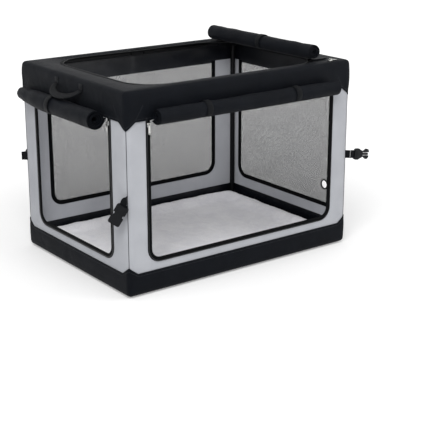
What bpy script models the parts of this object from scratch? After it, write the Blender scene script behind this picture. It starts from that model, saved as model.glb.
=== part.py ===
"""Soft folding dog crate: two tray-shaped ends joined by side rails that fold at centre hubs.

The frame of each end is one bent steel tube with moulded brackets in its corners. Four side
rails, each of two halves with a centre hub, run between the ends. The upper rails fold down and
the lower rails fold up, so the ends close mouth to mouth. Cloth covers the frame: black padded
bands round the top and the bottom, grey walls, mesh windows, and three flaps that are rolled and
tied open.

x runs along the crate (left end at -x), y from front to rear, z up. The origin is on the ground
under the middle of the floor.
"""

import math

import bmesh
import bpy
from mathutils import Matrix, Vector

# Overall size
LENGTH = 0.81
DEPTH = 0.58
HEIGHT = 0.58
EDGE_RADIUS = 0.0135
EDGE_SEGMENTS = 3
SHARP_ANGLE = math.radians(35)

# Gaps
SEAM_GAP = 0.0003
SLIDE_GAP = 0.0003
OVERRUN = 0.05
SMALL_OVERRUN = 0.005

# Cloth layers
BAND_THICKNESS = 0.0025
WALL_THICKNESS = 0.002
MESH_THICKNESS = 0.0008
MESH_LAP = 0.001
WALL_HEM = 0.016

# Bands
TOP_BAND_HEIGHT = 0.085
BOTTOM_BAND_HEIGHT = 0.066
BAND_POINT_DROP = 0.022
BAND_POINT_HALF_WIDTH = 0.03
BAND_POINT_LAP_SHARE = 1 / 3
ROOF_MARGIN = 0.04
ROOF_CORNER_RADIUS = 0.045

# Frame
TUBE_RADIUS = 0.008
TUBE_SIDES = 14
WELD = 0.000002
RING_BEND_RADIUS = 0.03
RING_BEND_STEPS = 5
RING_BEVEL_RESOLUTION = 4
FRAME_GAP = 0.0004
TOP_RAIL_DROP = 0.0162
BOTTOM_RAIL_LIFT = 0.0128
RAIL_LAYER_STEP = 0.0166

# Fold
PIVOT_INSET = 0.067
HUB_PIN_SPACING = 0.026
PACK_GAP = 0.004

# Pivots
CHEEK_THICKNESS = 0.004
CHEEK_RADIUS = 0.0085
CHANNEL_WIDTH = 0.007
CHANNEL_WEB_CLEARANCE = 0.0007
CHANNEL_WEB_THICKNESS = 0.002
CHANNEL_ROOT_SETBACK = 0.0105
CHANNEL_WEB_REACH = 0.012
TONGUE_RADIUS = 0.0065
TONGUE_REACH = 0.014
PIN_RADIUS = 0.003
TONGUE_ROOT = 0.004
BRACKET_HALF_HEIGHT = 0.0065
BRACKET_REACH = 0.045
ARC_STEPS = 6

# Front doorway
FRONT_DOOR_SILL = 0.099
FRONT_SILL_TOP = 0.25
DOOR_TAPE_WIDTH = 0.01
DOOR_CORNER_RADIUS = 0.03
TAPE_TOP_GAP = 0.009

# Left doorway
LEFT_DOOR_HALF_WIDTH = 0.203
LEFT_DOOR_SILL = 0.099
LEFT_DOOR_HEAD_LAP = 0.005

# Rear window
REAR_WINDOW_END_MARGIN = 0.015
REAR_WINDOW_SILL = 0.118
REAR_WINDOW_HEAD = 0.487
WINDOW_BINDING_WIDTH = 0.0125

# Right window
RIGHT_WINDOW_HALF_WIDTH = 0.243
RIGHT_WINDOW_SILL = 0.104
RIGHT_WINDOW_HEAD = 0.487

# Port in the right window
PORT_BORE_RADIUS = 0.0125
PORT_RIM_WIDTH = 0.0045
PORT_RIM_THICKNESS = 0.003
PORT_EDGE_INSET = 0.054
PORT_SILL_RISE = 0.06

# Rolled flaps
FLAP_THICKNESS = 0.003
ROLL_PITCH = 0.0046
ROLL_STEPS = 16
ROLL_TURNS = 3.6
LOOP_THICKNESS = 0.0015
LOOP_WIDTH = 0.02
LOOP_SIDES = 24
FRONT_ROLL_RADIUS = 0.024
FRONT_ROLL_RISE = 0.015
FRONT_ROLL_END_GAP = 0.006
FRONT_ROLL_LOOP_X = 0.16
FRONT_ROLL_ENTRY = math.radians(-78)
LEFT_ROLL_RADIUS = 0.029
LEFT_ROLL_RISE = -0.001
LEFT_ROLL_NEAR = -0.192
LEFT_ROLL_FAR = 0.259
LEFT_ROLL_LOOP_Y = 0.035
LEFT_ROLL_ENTRY = math.radians(-28)
ROOF_ROLL_RADIUS = 0.024
ROOF_ROLL_OVERHANG = 0.032
ROOF_ROLL_NEAR = -0.245
ROOF_ROLL_FAR = 0.258
ROOF_ROLL_LOOP_Y = 0.0
ROOF_TAIL = 0.018
ROOF_ROLL_ENTRY = math.radians(-90)

# Mat
MAT_THICKNESS = 0.024
MAT_END_GAP = 0.0195
MAT_SIDE_GAP = 0.005
MAT_CORNER_RADIUS = 0.03
MAT_EDGE_RUN = 0.05
MAT_COLUMNS = 18
MAT_ROWS = 14
MAT_RAISED_ROWS = 2
MAT_RAIL_CLEARANCE = 0.004
MAT_CROWN = 0.004

# Handles
HANDLE_HALF_SPAN = 0.078
HANDLE_SAG = 0.05
HANDLE_WIDTH = 0.022
HANDLE_THICKNESS = 0.0025
HANDLE_DROP = 0.032
HANDLE_HEM_RADIUS = 0.0015
HANDLE_TAB_HEIGHT = 0.0175
LEFT_HANDLE_LIFT = math.radians(59.6)
RIGHT_HANDLE_LIFT = math.radians(10)
TAB_THICKNESS = 0.0015
HANDLE_STEPS = 12

# Corner straps and side-release buckles
STRAP_HEIGHT = 0.285
STRAP_AXIS_STANDOFF = 0.0065
STRAP_WEB_WIDTH = 0.025
STRAP_WEB_THICKNESS = 0.0016
STRAP_BARREL_RADIUS = 0.0015
STRAP_TAB_SETBACK = 0.0021
STRAP_REACH = 0.0745
BUCKLE_START = 0.015
BUCKLE_HALF_WIDTH = 0.0175
BUCKLE_POCKET_DEPTH = 0.006
BUCKLE_POCKET_CLEARANCE = 0.0004
MALE_THICKNESS = 0.007
MALE_BASE_LENGTH = 0.022
MALE_GUIDE_HALF_WIDTH = 0.003
MALE_SLOT_WIDTH = 0.0022
MALE_HEEL_SHARES = ((0, 0.86), (0.25, 1), (0.75, 1), (1, 0.8))
MALE_PRONG_SHARES = ((0.36, 0.486), (0.55, 0.636), (0.72, 0.92), (0.9, 0.86), (1, 0.55))
MALE_SLOT_ROOT_SHARE = 0.3
MALE_GUIDE_SHARE = 0.92
FEMALE_THICKNESS = 0.01
FEMALE_MOUTH_DEPTH = 0.03
FEMALE_MOUTH_HALF_WIDTH = 0.0135
FEMALE_MOUTH_HEIGHT = 0.0075
FEMALE_WINDOW_LENGTH = 0.016
FEMALE_WINDOW_DEPTH = 0.005
FEMALE_CORNER_CUT = 0.0035
FRONT_LEFT_DROOP = math.radians(60)
FRONT_RIGHT_DROOP = math.radians(8)

# Zip sliders
SLIDER_WIDTH = 0.0084
SLIDER_LENGTH = 0.012
SLIDER_THICKNESS = 0.0038
SLIDER_TOP_GAP = 0.012
SLIDER_EAR_THICKNESS = 0.001
SLIDER_EAR_HEIGHT = 0.0036
SLIDER_PIN_RADIUS = 0.0007
PULL_EYE_RADIUS = 0.0017
PULL_EYE_BORE = 0.0011
PULL_WIDTH = 0.006
PULL_THICKNESS = 0.0012
PULL_LENGTH = 0.026
PULL_HOLE_RADIUS = 0.0016
ROOF_SLIDER_Y = -0.272
ROOF_SLIDER_INSET = 0.008
ROOF_PULL_DROOP = math.radians(9)

# Sizes that follow from those above
END_X = LENGTH / 2
SIDE_Y = DEPTH / 2
PIVOT_X = END_X - PIVOT_INSET
HUB_PIN_X = HUB_PIN_SPACING / 2
TRAY_DEPTH = PIVOT_INSET + HUB_PIN_X - PACK_GAP / 2
TRAY_X = END_X - TRAY_DEPTH
MID_X = TRAY_X - SEAM_GAP
WALL_INSET = BAND_THICKNESS + SEAM_GAP
FRAME_INSET = WALL_INSET + WALL_THICKNESS + FRAME_GAP + TUBE_RADIUS
POST_X = END_X - FRAME_INSET
POST_Y = SIDE_Y - FRAME_INSET
TOP_RAIL_Z = HEIGHT - TOP_RAIL_DROP
BOTTOM_RAIL_Z = BOTTOM_RAIL_LIFT
TOP_RAIL_Y = POST_Y
BOTTOM_RAIL_Y = POST_Y - RAIL_LAYER_STEP
BAND_EDGE_Z = HEIGHT - TOP_BAND_HEIGHT
REAR_WINDOW_HALF_LENGTH = TRAY_X - REAR_WINDOW_END_MARGIN
PORT_Y = PORT_EDGE_INSET - RIGHT_WINDOW_HALF_WIDTH
PORT_Z = RIGHT_WINDOW_SILL + PORT_SILL_RISE
CHANNEL_HALF_WIDTH = CHANNEL_WIDTH / 2 + CHEEK_THICKNESS
CHANNEL_WEB_TOP = TONGUE_RADIUS + CHANNEL_WEB_CLEARANCE + CHANNEL_WEB_THICKNESS
STRAP_AXIS_X = END_X + STRAP_AXIS_STANDOFF
STRAP_AXIS_Y = SIDE_Y + STRAP_AXIS_STANDOFF
HANDLE_AXIS_X = END_X + HANDLE_HEM_RADIUS + SEAM_GAP
HANDLE_AXIS_Z = HEIGHT - HANDLE_DROP
SLIDER_Z = BAND_EDGE_Z - SLIDER_TOP_GAP
FRONT_SLIDER_X = -TRAY_X - DOOR_TAPE_WIDTH / 2 - SEAM_GAP
LEFT_SLIDER_Y = -LEFT_DOOR_HALF_WIDTH - DOOR_TAPE_WIDTH / 2
PULL_STANDOFF = SEAM_GAP + SLIDER_THICKNESS + SLIDER_EAR_HEIGHT / 2

X_AXIS = Vector((1, 0, 0))
Y_AXIS = Vector((0, 1, 0))
Z_AXIS = Vector((0, 0, 1))


def clear_scene():
    for thing in list(bpy.data.objects):
        bpy.data.objects.remove(thing, do_unlink=True)


def collection(name):
    found = bpy.data.collections.new(name)
    bpy.context.scene.collection.children.link(found)
    return found


clear_scene()
CRATE = collection("soft_folding_dog_crate")
CUTTERS = collection("cutters")


def material(name, colour, roughness, metallic):
    made = bpy.data.materials.new(name)
    made.use_nodes = True
    surface = made.node_tree.nodes["Principled BSDF"]
    surface.inputs["Base Color"].default_value = (*colour, 1)
    surface.inputs["Roughness"].default_value = roughness
    surface.inputs["Metallic"].default_value = metallic
    return made


BLACK_CLOTH = material("black_padded_oxford", (0.012, 0.012, 0.014), 0.82, 0)
GREY_CLOTH = material("grey_oxford", (0.42, 0.44, 0.46), 0.85, 0)
MESH_CLOTH = material("black_window_mesh", (0.05, 0.05, 0.055), 0.8, 0)
ZIP_TAPE = material("black_zip_tape", (0.008, 0.008, 0.01), 0.7, 0)
WEBBING = material("black_webbing", (0.01, 0.01, 0.012), 0.75, 0)
PLUSH = material("pale_plush", (0.62, 0.61, 0.66), 0.95, 0)
STEEL = material("powder_coated_steel", (0.02, 0.02, 0.022), 0.45, 0.6)
PLASTIC = material("black_moulded_plastic", (0.015, 0.015, 0.017), 0.5, 0)
ZINC = material("nickel_plated_zinc", (0.6, 0.6, 0.6), 0.3, 1)


def temporary(name, mesh):
    made = bpy.data.objects.new(name, mesh)
    made.hide_render = True
    made.display_type = "WIRE"
    CUTTERS.objects.link(made)
    return made


def from_bmesh(name, shape):
    mesh = bpy.data.meshes.new(name)
    shape.to_mesh(mesh)
    shape.free()
    return temporary(name, mesh)


def baked(thing):
    """The mesh that an object shows, with its modifiers applied and its caps welded."""
    bpy.context.view_layer.update()
    graph = bpy.context.evaluated_depsgraph_get()
    mesh = bpy.data.meshes.new_from_object(thing.evaluated_get(graph))
    mesh.transform(thing.matrix_world)
    shape = bmesh.new()
    shape.from_mesh(mesh)
    bmesh.ops.remove_doubles(shape, verts=shape.verts, dist=WELD)
    name = thing.name
    bpy.data.objects.remove(thing, do_unlink=True)
    return from_bmesh(name, shape)


def combine(target, others, operation):
    """Cuts, joins or trims target with each of the others, which are used up."""
    for other in others:
        modifier = target.modifiers.new("shape", "BOOLEAN")
        modifier.operation = operation
        modifier.solver = "EXACT"
        modifier.object = other
        target = baked(target)
        bpy.data.objects.remove(other, do_unlink=True)
    return target


def cut(target, *others):
    return combine(target, others, "DIFFERENCE")


def join(target, *others):
    return combine(target, others, "UNION")


def trim(target, *others):
    return combine(target, others, "INTERSECT")


def copy_of(thing):
    return temporary(thing.name, thing.data.copy())


def block(low, high):
    low, high = Vector(low), Vector(high)
    shape = bmesh.new()
    bmesh.ops.create_cube(shape, size=1)
    bmesh.ops.scale(shape, vec=high - low, verts=shape.verts)
    bmesh.ops.translate(shape, vec=(low + high) / 2, verts=shape.verts)
    return from_bmesh("block", shape)


def rounded_block(low, high, radius, segments):
    low, high = Vector(low), Vector(high)
    shape = bmesh.new()
    bmesh.ops.create_cube(shape, size=1)
    bmesh.ops.scale(shape, vec=high - low, verts=shape.verts)
    bmesh.ops.translate(shape, vec=(low + high) / 2, verts=shape.verts)
    bmesh.ops.bevel(
        shape,
        geom=shape.edges[:],
        offset=radius,
        segments=segments,
        profile=0.5,
        affect="EDGES",
        clamp_overlap=True,
    )
    return from_bmesh("rounded_block", shape)


def rod(radius, start, end, sides):
    start, end = Vector(start), Vector(end)
    shape = bmesh.new()
    bmesh.ops.create_cone(
        shape,
        cap_ends=True,
        segments=sides,
        radius1=radius,
        radius2=radius,
        depth=(end - start).length,
    )
    turn = Z_AXIS.rotation_difference(end - start).to_matrix().to_4x4()
    shape.transform(Matrix.Translation((start + end) / 2) @ turn)
    return from_bmesh("rod", shape)


def pyramid(centre, half_width, height):
    """Four-sided, with its point down for a positive height and its corners along x and y."""
    shape = bmesh.new()
    bmesh.ops.create_cone(
        shape, cap_ends=True, segments=4, radius1=0, radius2=half_width, depth=abs(height)
    )
    corner = max((vert.co for vert in shape.verts), key=lambda co: co.xy.length)
    shape.transform(Matrix.Rotation(-math.atan2(corner.y, corner.x), 4, "Z"))
    if height < 0:
        shape.transform(Matrix.Rotation(math.pi, 4, "X"))
    shape.transform(Matrix.Translation(Vector(centre) + Z_AXIS * (height / 2)))
    return from_bmesh("pyramid", shape)


def ring_tube(radius, x):
    """A bent tube that goes round one end of the frame, or a fatter one to cut its seats."""
    curve = bpy.data.curves.new("ring", "CURVE")
    curve.dimensions = "3D"
    curve.bevel_depth = radius
    curve.bevel_resolution = RING_BEVEL_RESOLUTION
    loop = rounded_rectangle(
        -POST_Y, POST_Y, BOTTOM_RAIL_Z, TOP_RAIL_Z, RING_BEND_RADIUS, RING_BEND_STEPS
    )
    spline = curve.splines.new("POLY")
    spline.points.add(len(loop) - 1)
    for point, (y, z) in zip(spline.points, loop):
        point.co = (x, y, z, 1)
    spline.use_cyclic_u = True
    guide = bpy.data.objects.new("ring", curve)
    CUTTERS.objects.link(guide)
    return baked(guide)


def placed(across, up, origin):
    """The placement of a flat outline whose plane runs along across and up."""
    across, up = Vector(across), Vector(up)
    through = across.cross(up)
    turn = Matrix((across, up, through)).transposed().to_4x4()
    return Matrix.Translation(Vector(origin)) @ turn


def outline(loops, thickness, placement):
    """A flat outline, with any holes as further loops, thickened evenly about its plane."""
    curve = bpy.data.curves.new("outline", "CURVE")
    curve.dimensions = "2D"
    curve.fill_mode = "BOTH"
    curve.extrude = thickness / 2
    for loop in loops:
        spline = curve.splines.new("POLY")
        spline.points.add(len(loop) - 1)
        for point, (across, up) in zip(spline.points, loop):
            point.co = (across, up, 0, 1)
        spline.use_cyclic_u = True
    guide = bpy.data.objects.new("outline", curve)
    CUTTERS.objects.link(guide)
    guide.matrix_world = placement
    return baked(guide)


def arc(centre, radius, start, end, steps):
    """Points on an arc, both ends included, with its angles in radians."""
    return [
        (
            centre[0] + radius * math.cos(start + (end - start) * k / steps),
            centre[1] + radius * math.sin(start + (end - start) * k / steps),
        )
        for k in range(steps + 1)
    ]


def rounded_rectangle(left, right, low, high, radius, steps=ARC_STEPS):
    quarter = math.pi / 2
    points = []
    for across, up, turn in (
        (right - radius, high - radius, 0),
        (left + radius, high - radius, 1),
        (left + radius, low + radius, 2),
        (right - radius, low + radius, 3),
    ):
        points += arc((across, up), radius, turn * quarter, (turn + 1) * quarter, steps)
    return points


def doorway(half, sill, head, radius):
    """A doorway's outline: rounded at the sill, square at the head."""
    quarter = math.pi / 2
    points = [(half, head), (-half, head)]
    points += arc((-half + radius, sill + radius), radius, 2 * quarter, 3 * quarter, ARC_STEPS)
    return points + arc((half - radius, sill + radius), radius, -quarter, 0, ARC_STEPS)


def circle(centre, radius, sides):
    return arc(centre, radius, 0, math.tau * (sides - 1) / sides, sides - 1)


class Body:
    """A piece of the crate that moves as one, hung from an empty on its joint's axis."""

    def __init__(self, name, pivot, parent=None):
        self.pivot = Vector(pivot)
        self.empty = bpy.data.objects.new(name + "_pivot", None)
        CRATE.objects.link(self.empty)
        self.empty.location = self.pivot
        if parent:
            self.empty.parent = parent.empty
            self.empty.location = self.pivot - parent.pivot

    def add(self, name, thing, surface):
        mesh = thing.data
        mesh.transform(Matrix.Translation(-self.pivot))
        mesh.name = name
        mesh.materials.clear()
        mesh.materials.append(surface)
        mesh.shade_smooth()
        mesh.set_sharp_from_angle(angle=SHARP_ANGLE)
        bpy.data.objects.remove(thing, do_unlink=True)
        made = bpy.data.objects.new(name, mesh)
        CRATE.objects.link(made)
        made.parent = self.empty
        return made


def bodies():
    """Every moving piece with the place of its joint, and the piece that carries it."""
    left = Body("left_end", (0, 0, 0))
    found = {"left_end": left}

    def body(name, pivot, parent):
        found[name] = Body(name, pivot, found[parent])

    body("bottom_left", (-PIVOT_X, 0, BOTTOM_RAIL_Z), "left_end")
    body("bottom_hub", (-HUB_PIN_X, 0, BOTTOM_RAIL_Z), "bottom_left")
    body("bottom_right", (HUB_PIN_X, 0, BOTTOM_RAIL_Z), "bottom_hub")
    body("right_end", (PIVOT_X, 0, BOTTOM_RAIL_Z), "bottom_right")
    body("top_left", (-PIVOT_X, 0, TOP_RAIL_Z), "left_end")
    body("top_hub", (-HUB_PIN_X, 0, TOP_RAIL_Z), "top_left")
    body("top_right", (PIVOT_X, 0, TOP_RAIL_Z), "right_end")
    for end, side in (("left", -1), ("right", 1)):
        carrier = end + "_end"
        body(end + "_handle", (side * HANDLE_AXIS_X, 0, HANDLE_AXIS_Z), carrier)
        for face, front in (("front", -1), ("rear", 1)):
            place = (side * STRAP_AXIS_X, front * STRAP_AXIS_Y, STRAP_HEIGHT)
            body(f"{face}_{end}_strap", place, carrier)
    body("front_slider", (FRONT_SLIDER_X, -SIDE_Y, SLIDER_Z), "left_end")
    body("front_pull", (FRONT_SLIDER_X, -SIDE_Y - PULL_STANDOFF, SLIDER_Z), "front_slider")
    body("left_slider", (-END_X, LEFT_SLIDER_Y, SLIDER_Z), "left_end")
    body("left_pull", (-END_X - PULL_STANDOFF, LEFT_SLIDER_Y, SLIDER_Z), "left_slider")
    body(
        "roof_pull",
        (TRAY_X + ROOF_SLIDER_INSET, ROOF_SLIDER_Y, HEIGHT + PULL_STANDOFF),
        "right_end",
    )
    return found


# Frame


def stadium(start, end, radius, square_start=False):
    """A bar's side outline with round ends, or a square one at its start."""
    quarter = math.pi / 2
    points = arc((end, 0), radius, -quarter, quarter, ARC_STEPS)
    if square_start:
        return points + [(start, radius), (start, -radius)]
    return points + arc((start, 0), radius, quarter, 3 * quarter, ARC_STEPS)


def channel(loop, web, pins, y, z, closed_side):
    """A forked bracket: two cheeks, a web along its closed side, and its pins."""
    cheeks = []
    for side in (-1, 1):
        offset = side * (CHANNEL_WIDTH + CHEEK_THICKNESS) / 2
        place = placed(X_AXIS, Z_AXIS, (0, y + offset, z))
        cheeks.append(outline([loop], CHEEK_THICKNESS, place))
    near = TONGUE_RADIUS + CHANNEL_WEB_CLEARANCE
    heights = sorted((z + closed_side * near, z + closed_side * CHANNEL_WEB_TOP))
    low = (web[0], y - CHANNEL_HALF_WIDTH, heights[0])
    high = (web[1], y + CHANNEL_HALF_WIDTH, heights[1])
    pieces = cheeks + [block(low, high)]
    for x in pins:
        ends = (x, y - CHANNEL_HALF_WIDTH, z), (x, y + CHANNEL_HALF_WIDTH, z)
        pieces.append(rod(PIN_RADIUS, *ends, TUBE_SIDES))
    return join(pieces[0], *pieces[1:])


def hub(y, z, closed_side):
    loop = stadium(-HUB_PIN_X, HUB_PIN_X, CHEEK_RADIUS)
    return channel(loop, (-HUB_PIN_X, HUB_PIN_X), (-HUB_PIN_X, HUB_PIN_X), y, z, closed_side)


def corner_bracket(end, y, z, closed_side):
    """A fork for a side rail, on a saddle that seats along the inside of the end ring."""
    pivot = end * PIVOT_X
    root = pivot + end * CHANNEL_ROOT_SETBACK
    loop = [(-end * x, up) for x, up in stadium(-abs(root), -PIVOT_X, CHEEK_RADIUS, True)]
    web = sorted((root, pivot - end * CHANNEL_WEB_REACH / 2))
    fork = channel(loop, web, [pivot], y, z, closed_side)
    side = 1 if y > 0 else -1
    xs = sorted((end * POST_X, root))
    ys = sorted((y + side * CHANNEL_HALF_WIDTH, side * (POST_Y - BRACKET_REACH)))
    saddle = block(
        (xs[0], ys[0], z - BRACKET_HALF_HEIGHT), (xs[1], ys[1], z + BRACKET_HALF_HEIGHT)
    )
    return join(fork, cut(saddle, ring_tube(TUBE_RADIUS + SLIDE_GAP, end * POST_X)))


def end_frame(name, end, body):
    body.add(name + "_ring", ring_tube(TUBE_RADIUS, end * POST_X), STEEL)
    for face, side in (("front", -1), ("rear", 1)):
        top = corner_bracket(end, side * TOP_RAIL_Y, TOP_RAIL_Z, 1)
        body.add(f"{face}_{name}_top_bracket", top, PLASTIC)
        bottom = corner_bracket(end, side * BOTTOM_RAIL_Y, BOTTOM_RAIL_Z, -1)
        body.add(f"{face}_{name}_bottom_bracket", bottom, PLASTIC)


def tongue(x, y, z, way):
    """The flat end of a rail, which turns on a pin at x."""
    quarter = math.pi / 2
    reach = TONGUE_REACH + TONGUE_ROOT
    loop = arc((0, 0), TONGUE_RADIUS, quarter, 3 * quarter, ARC_STEPS)
    loop += [(reach, -TONGUE_RADIUS), (reach, TONGUE_RADIUS)]
    bore = circle((0, 0), PIN_RADIUS + SLIDE_GAP, TUBE_SIDES)
    flat = placed(way * X_AXIS, Z_AXIS, (x, y, z))
    return outline([loop, bore], CHANNEL_WIDTH - 2 * SLIDE_GAP, flat)


def half_rail(end, y, z):
    outer, inner = end * PIVOT_X, end * HUB_PIN_X
    start = (outer - end * TONGUE_REACH, y, z)
    stop = (inner + end * TONGUE_REACH, y, z)
    bar = rod(TUBE_RADIUS, start, stop, TUBE_SIDES)
    return join(bar, tongue(outer, y, z, -end), tongue(inner, y, z, end))


def frame(body):
    for name, end in (("left", -1), ("right", 1)):
        end_frame(name, end, body[name + "_end"])
    for level, y, z, closed_side in (
        ("top", TOP_RAIL_Y, TOP_RAIL_Z, 1),
        ("bottom", BOTTOM_RAIL_Y, BOTTOM_RAIL_Z, -1),
    ):
        for face, side in (("front", -1), ("rear", 1)):
            for name, end in (("left", -1), ("right", 1)):
                rail = half_rail(end, side * y, z)
                body[f"{level}_{name}"].add(f"{face}_{level}_{name}_rail", rail, STEEL)
            middle = hub(side * y, z, -closed_side)
            body[level + "_hub"].add(f"{face}_{level}_hub", middle, PLASTIC)


# Cloth


def layer(inset, thickness):
    """One closed layer of the cover, from which every flat cloth piece is cut."""

    def skin(depth):
        return rounded_block(
            (-END_X + depth, -SIDE_Y + depth, depth),
            (END_X - depth, SIDE_Y - depth, HEIGHT - depth),
            EDGE_RADIUS - depth,
            EDGE_SEGMENTS,
        )

    return cut(skin(inset), skin(inset + thickness))


def slab(low_x, high_x, low_z, high_z, side=0):
    """The space between two lengths and two heights, on the front, the rear or both sides."""
    low_y = 0 if side > 0 else -SIDE_Y - OVERRUN
    high_y = 0 if side < 0 else SIDE_Y + OVERRUN
    return block((low_x, low_y, low_z), (high_x, high_y, high_z))


def end_span(end):
    reach = END_X + OVERRUN
    return (-reach, -TRAY_X) if end < 0 else (TRAY_X, reach)


def band_zone(end, top):
    """Where an end's band lies, with a point down or up each corner seam."""
    low_x, high_x = end_span(end)
    if top:
        zone = slab(low_x, high_x, BAND_EDGE_Z, HEIGHT + OVERRUN)
        tip, way = BAND_EDGE_Z - BAND_POINT_DROP, 1
    else:
        zone = slab(low_x, high_x, -OVERRUN, BOTTOM_BAND_HEIGHT)
        tip, way = BOTTOM_BAND_HEIGHT + BAND_POINT_DROP, -1
    stretch = 1 + BAND_POINT_LAP_SHARE
    points = [
        pyramid(
            (end * END_X, side * SIDE_Y, tip),
            BAND_POINT_HALF_WIDTH * stretch,
            way * BAND_POINT_DROP * stretch,
        )
        for side in (-1, 1)
    ]
    return join(zone, *points)


def roof_opening():
    loop = rounded_rectangle(
        -TRAY_X, TRAY_X, -SIDE_Y + ROOF_MARGIN, SIDE_Y - ROOF_MARGIN, ROOF_CORNER_RADIUS
    )
    return outline([loop], HEIGHT, placed(X_AXIS, Y_AXIS, (0, 0, HEIGHT)))


def front_doorway(grow):
    loop = doorway(
        TRAY_X + grow, FRONT_DOOR_SILL - grow, BAND_EDGE_Z, DOOR_CORNER_RADIUS + grow
    )
    return outline([loop], DEPTH, placed(X_AXIS, Z_AXIS, (0, -SIDE_Y, 0)))


def left_doorway(grow):
    loop = doorway(
        LEFT_DOOR_HALF_WIDTH + grow,
        LEFT_DOOR_SILL - grow,
        BAND_EDGE_Z + LEFT_DOOR_HEAD_LAP,
        DOOR_CORNER_RADIUS + grow,
    )
    return outline([loop], LENGTH, placed(Y_AXIS, Z_AXIS, (-END_X, 0, 0)))


def rear_window(grow):
    loop = rounded_rectangle(
        -REAR_WINDOW_HALF_LENGTH - grow,
        REAR_WINDOW_HALF_LENGTH + grow,
        REAR_WINDOW_SILL - grow,
        REAR_WINDOW_HEAD + grow,
        DOOR_CORNER_RADIUS + grow,
    )
    return outline([loop], DEPTH, placed(X_AXIS, Z_AXIS, (0, SIDE_Y, 0)))


def right_window(grow):
    loop = rounded_rectangle(
        -RIGHT_WINDOW_HALF_WIDTH - grow,
        RIGHT_WINDOW_HALF_WIDTH + grow,
        RIGHT_WINDOW_SILL - grow,
        RIGHT_WINDOW_HEAD + grow,
        DOOR_CORNER_RADIUS + grow,
    )
    return outline([loop], LENGTH, placed(Y_AXIS, Z_AXIS, (END_X, 0, 0)))


def bands(outer, body):
    for name, end in (("left", -1), ("right", 1)):
        carrier = body[name + "_end"]
        top = join(trim(copy_of(outer), band_zone(end, True)), *handle_tabs(end))
        carrier.add(name + "_top_band", top, BLACK_CLOTH)
        bottom = trim(copy_of(outer), band_zone(end, False))
        carrier.add(name + "_bottom_band", bottom, BLACK_CLOTH)
    for name, side in (("front", -1), ("rear", 1)):
        zone = slab(-MID_X, MID_X, BAND_EDGE_Z, HEIGHT + OVERRUN, side)
        top = cut(trim(copy_of(outer), zone), roof_opening())
        body["left_end"].add(name + "_top_band", top, BLACK_CLOTH)
    tray = trim(copy_of(outer), slab(-MID_X, MID_X, -OVERRUN, BOTTOM_BAND_HEIGHT))
    body["left_end"].add("floor_tray", tray, BLACK_CLOTH)


def walls(inner, body):
    low, high = WALL_HEM, HEIGHT - WALL_HEM
    left = cut(trim(copy_of(inner), slab(*end_span(-1), low, high)), left_doorway(0))
    left = join(left, *(corner_tab(-1, side) for side in (-1, 1)))
    body["left_end"].add("left_wall", left, GREY_CLOTH)
    right = cut(trim(copy_of(inner), slab(*end_span(1), low, high)), right_window(0))
    right = join(right, *(corner_tab(1, side) for side in (-1, 1)))
    body["right_end"].add("right_wall", right, GREY_CLOTH)
    sill = trim(copy_of(inner), slab(-MID_X, MID_X, low, FRONT_SILL_TOP, -1))
    body["left_end"].add("front_sill", cut(sill, front_doorway(0)), GREY_CLOTH)
    rear = trim(copy_of(inner), slab(-MID_X, MID_X, low, high, 1))
    body["left_end"].add("rear_wall", cut(rear, rear_window(0)), GREY_CLOTH)


def tapes(outer, body):
    """Zip tapes, which lie in the bands' layer between the two bands."""
    tape_top = BAND_EDGE_Z - TAPE_TOP_GAP
    band_top = BOTTOM_BAND_HEIGHT + SEAM_GAP
    jamb_low = FRONT_DOOR_SILL - DOOR_TAPE_WIDTH
    near, far = TRAY_X, TRAY_X + DOOR_TAPE_WIDTH
    jamb = trim(copy_of(outer), slab(-far, -near, jamb_low, tape_top, -1))
    body["left_end"].add("left_jamb_tape", jamb, ZIP_TAPE)
    jamb = trim(copy_of(outer), slab(near, far, jamb_low, tape_top, -1))
    body["right_end"].add("right_jamb_tape", jamb, ZIP_TAPE)
    ring = trim(copy_of(outer), slab(*end_span(-1), band_top, tape_top))
    ring = cut(trim(ring, left_doorway(DOOR_TAPE_WIDTH)), left_doorway(0))
    body["left_end"].add("left_door_tape", ring, ZIP_TAPE)
    sill = trim(copy_of(outer), slab(-MID_X, MID_X, band_top, FRONT_SILL_TOP, -1))
    sill = cut(trim(sill, front_doorway(DOOR_TAPE_WIDTH)), front_doorway(0))
    body["left_end"].add("front_sill_tape", sill, ZIP_TAPE)


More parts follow.
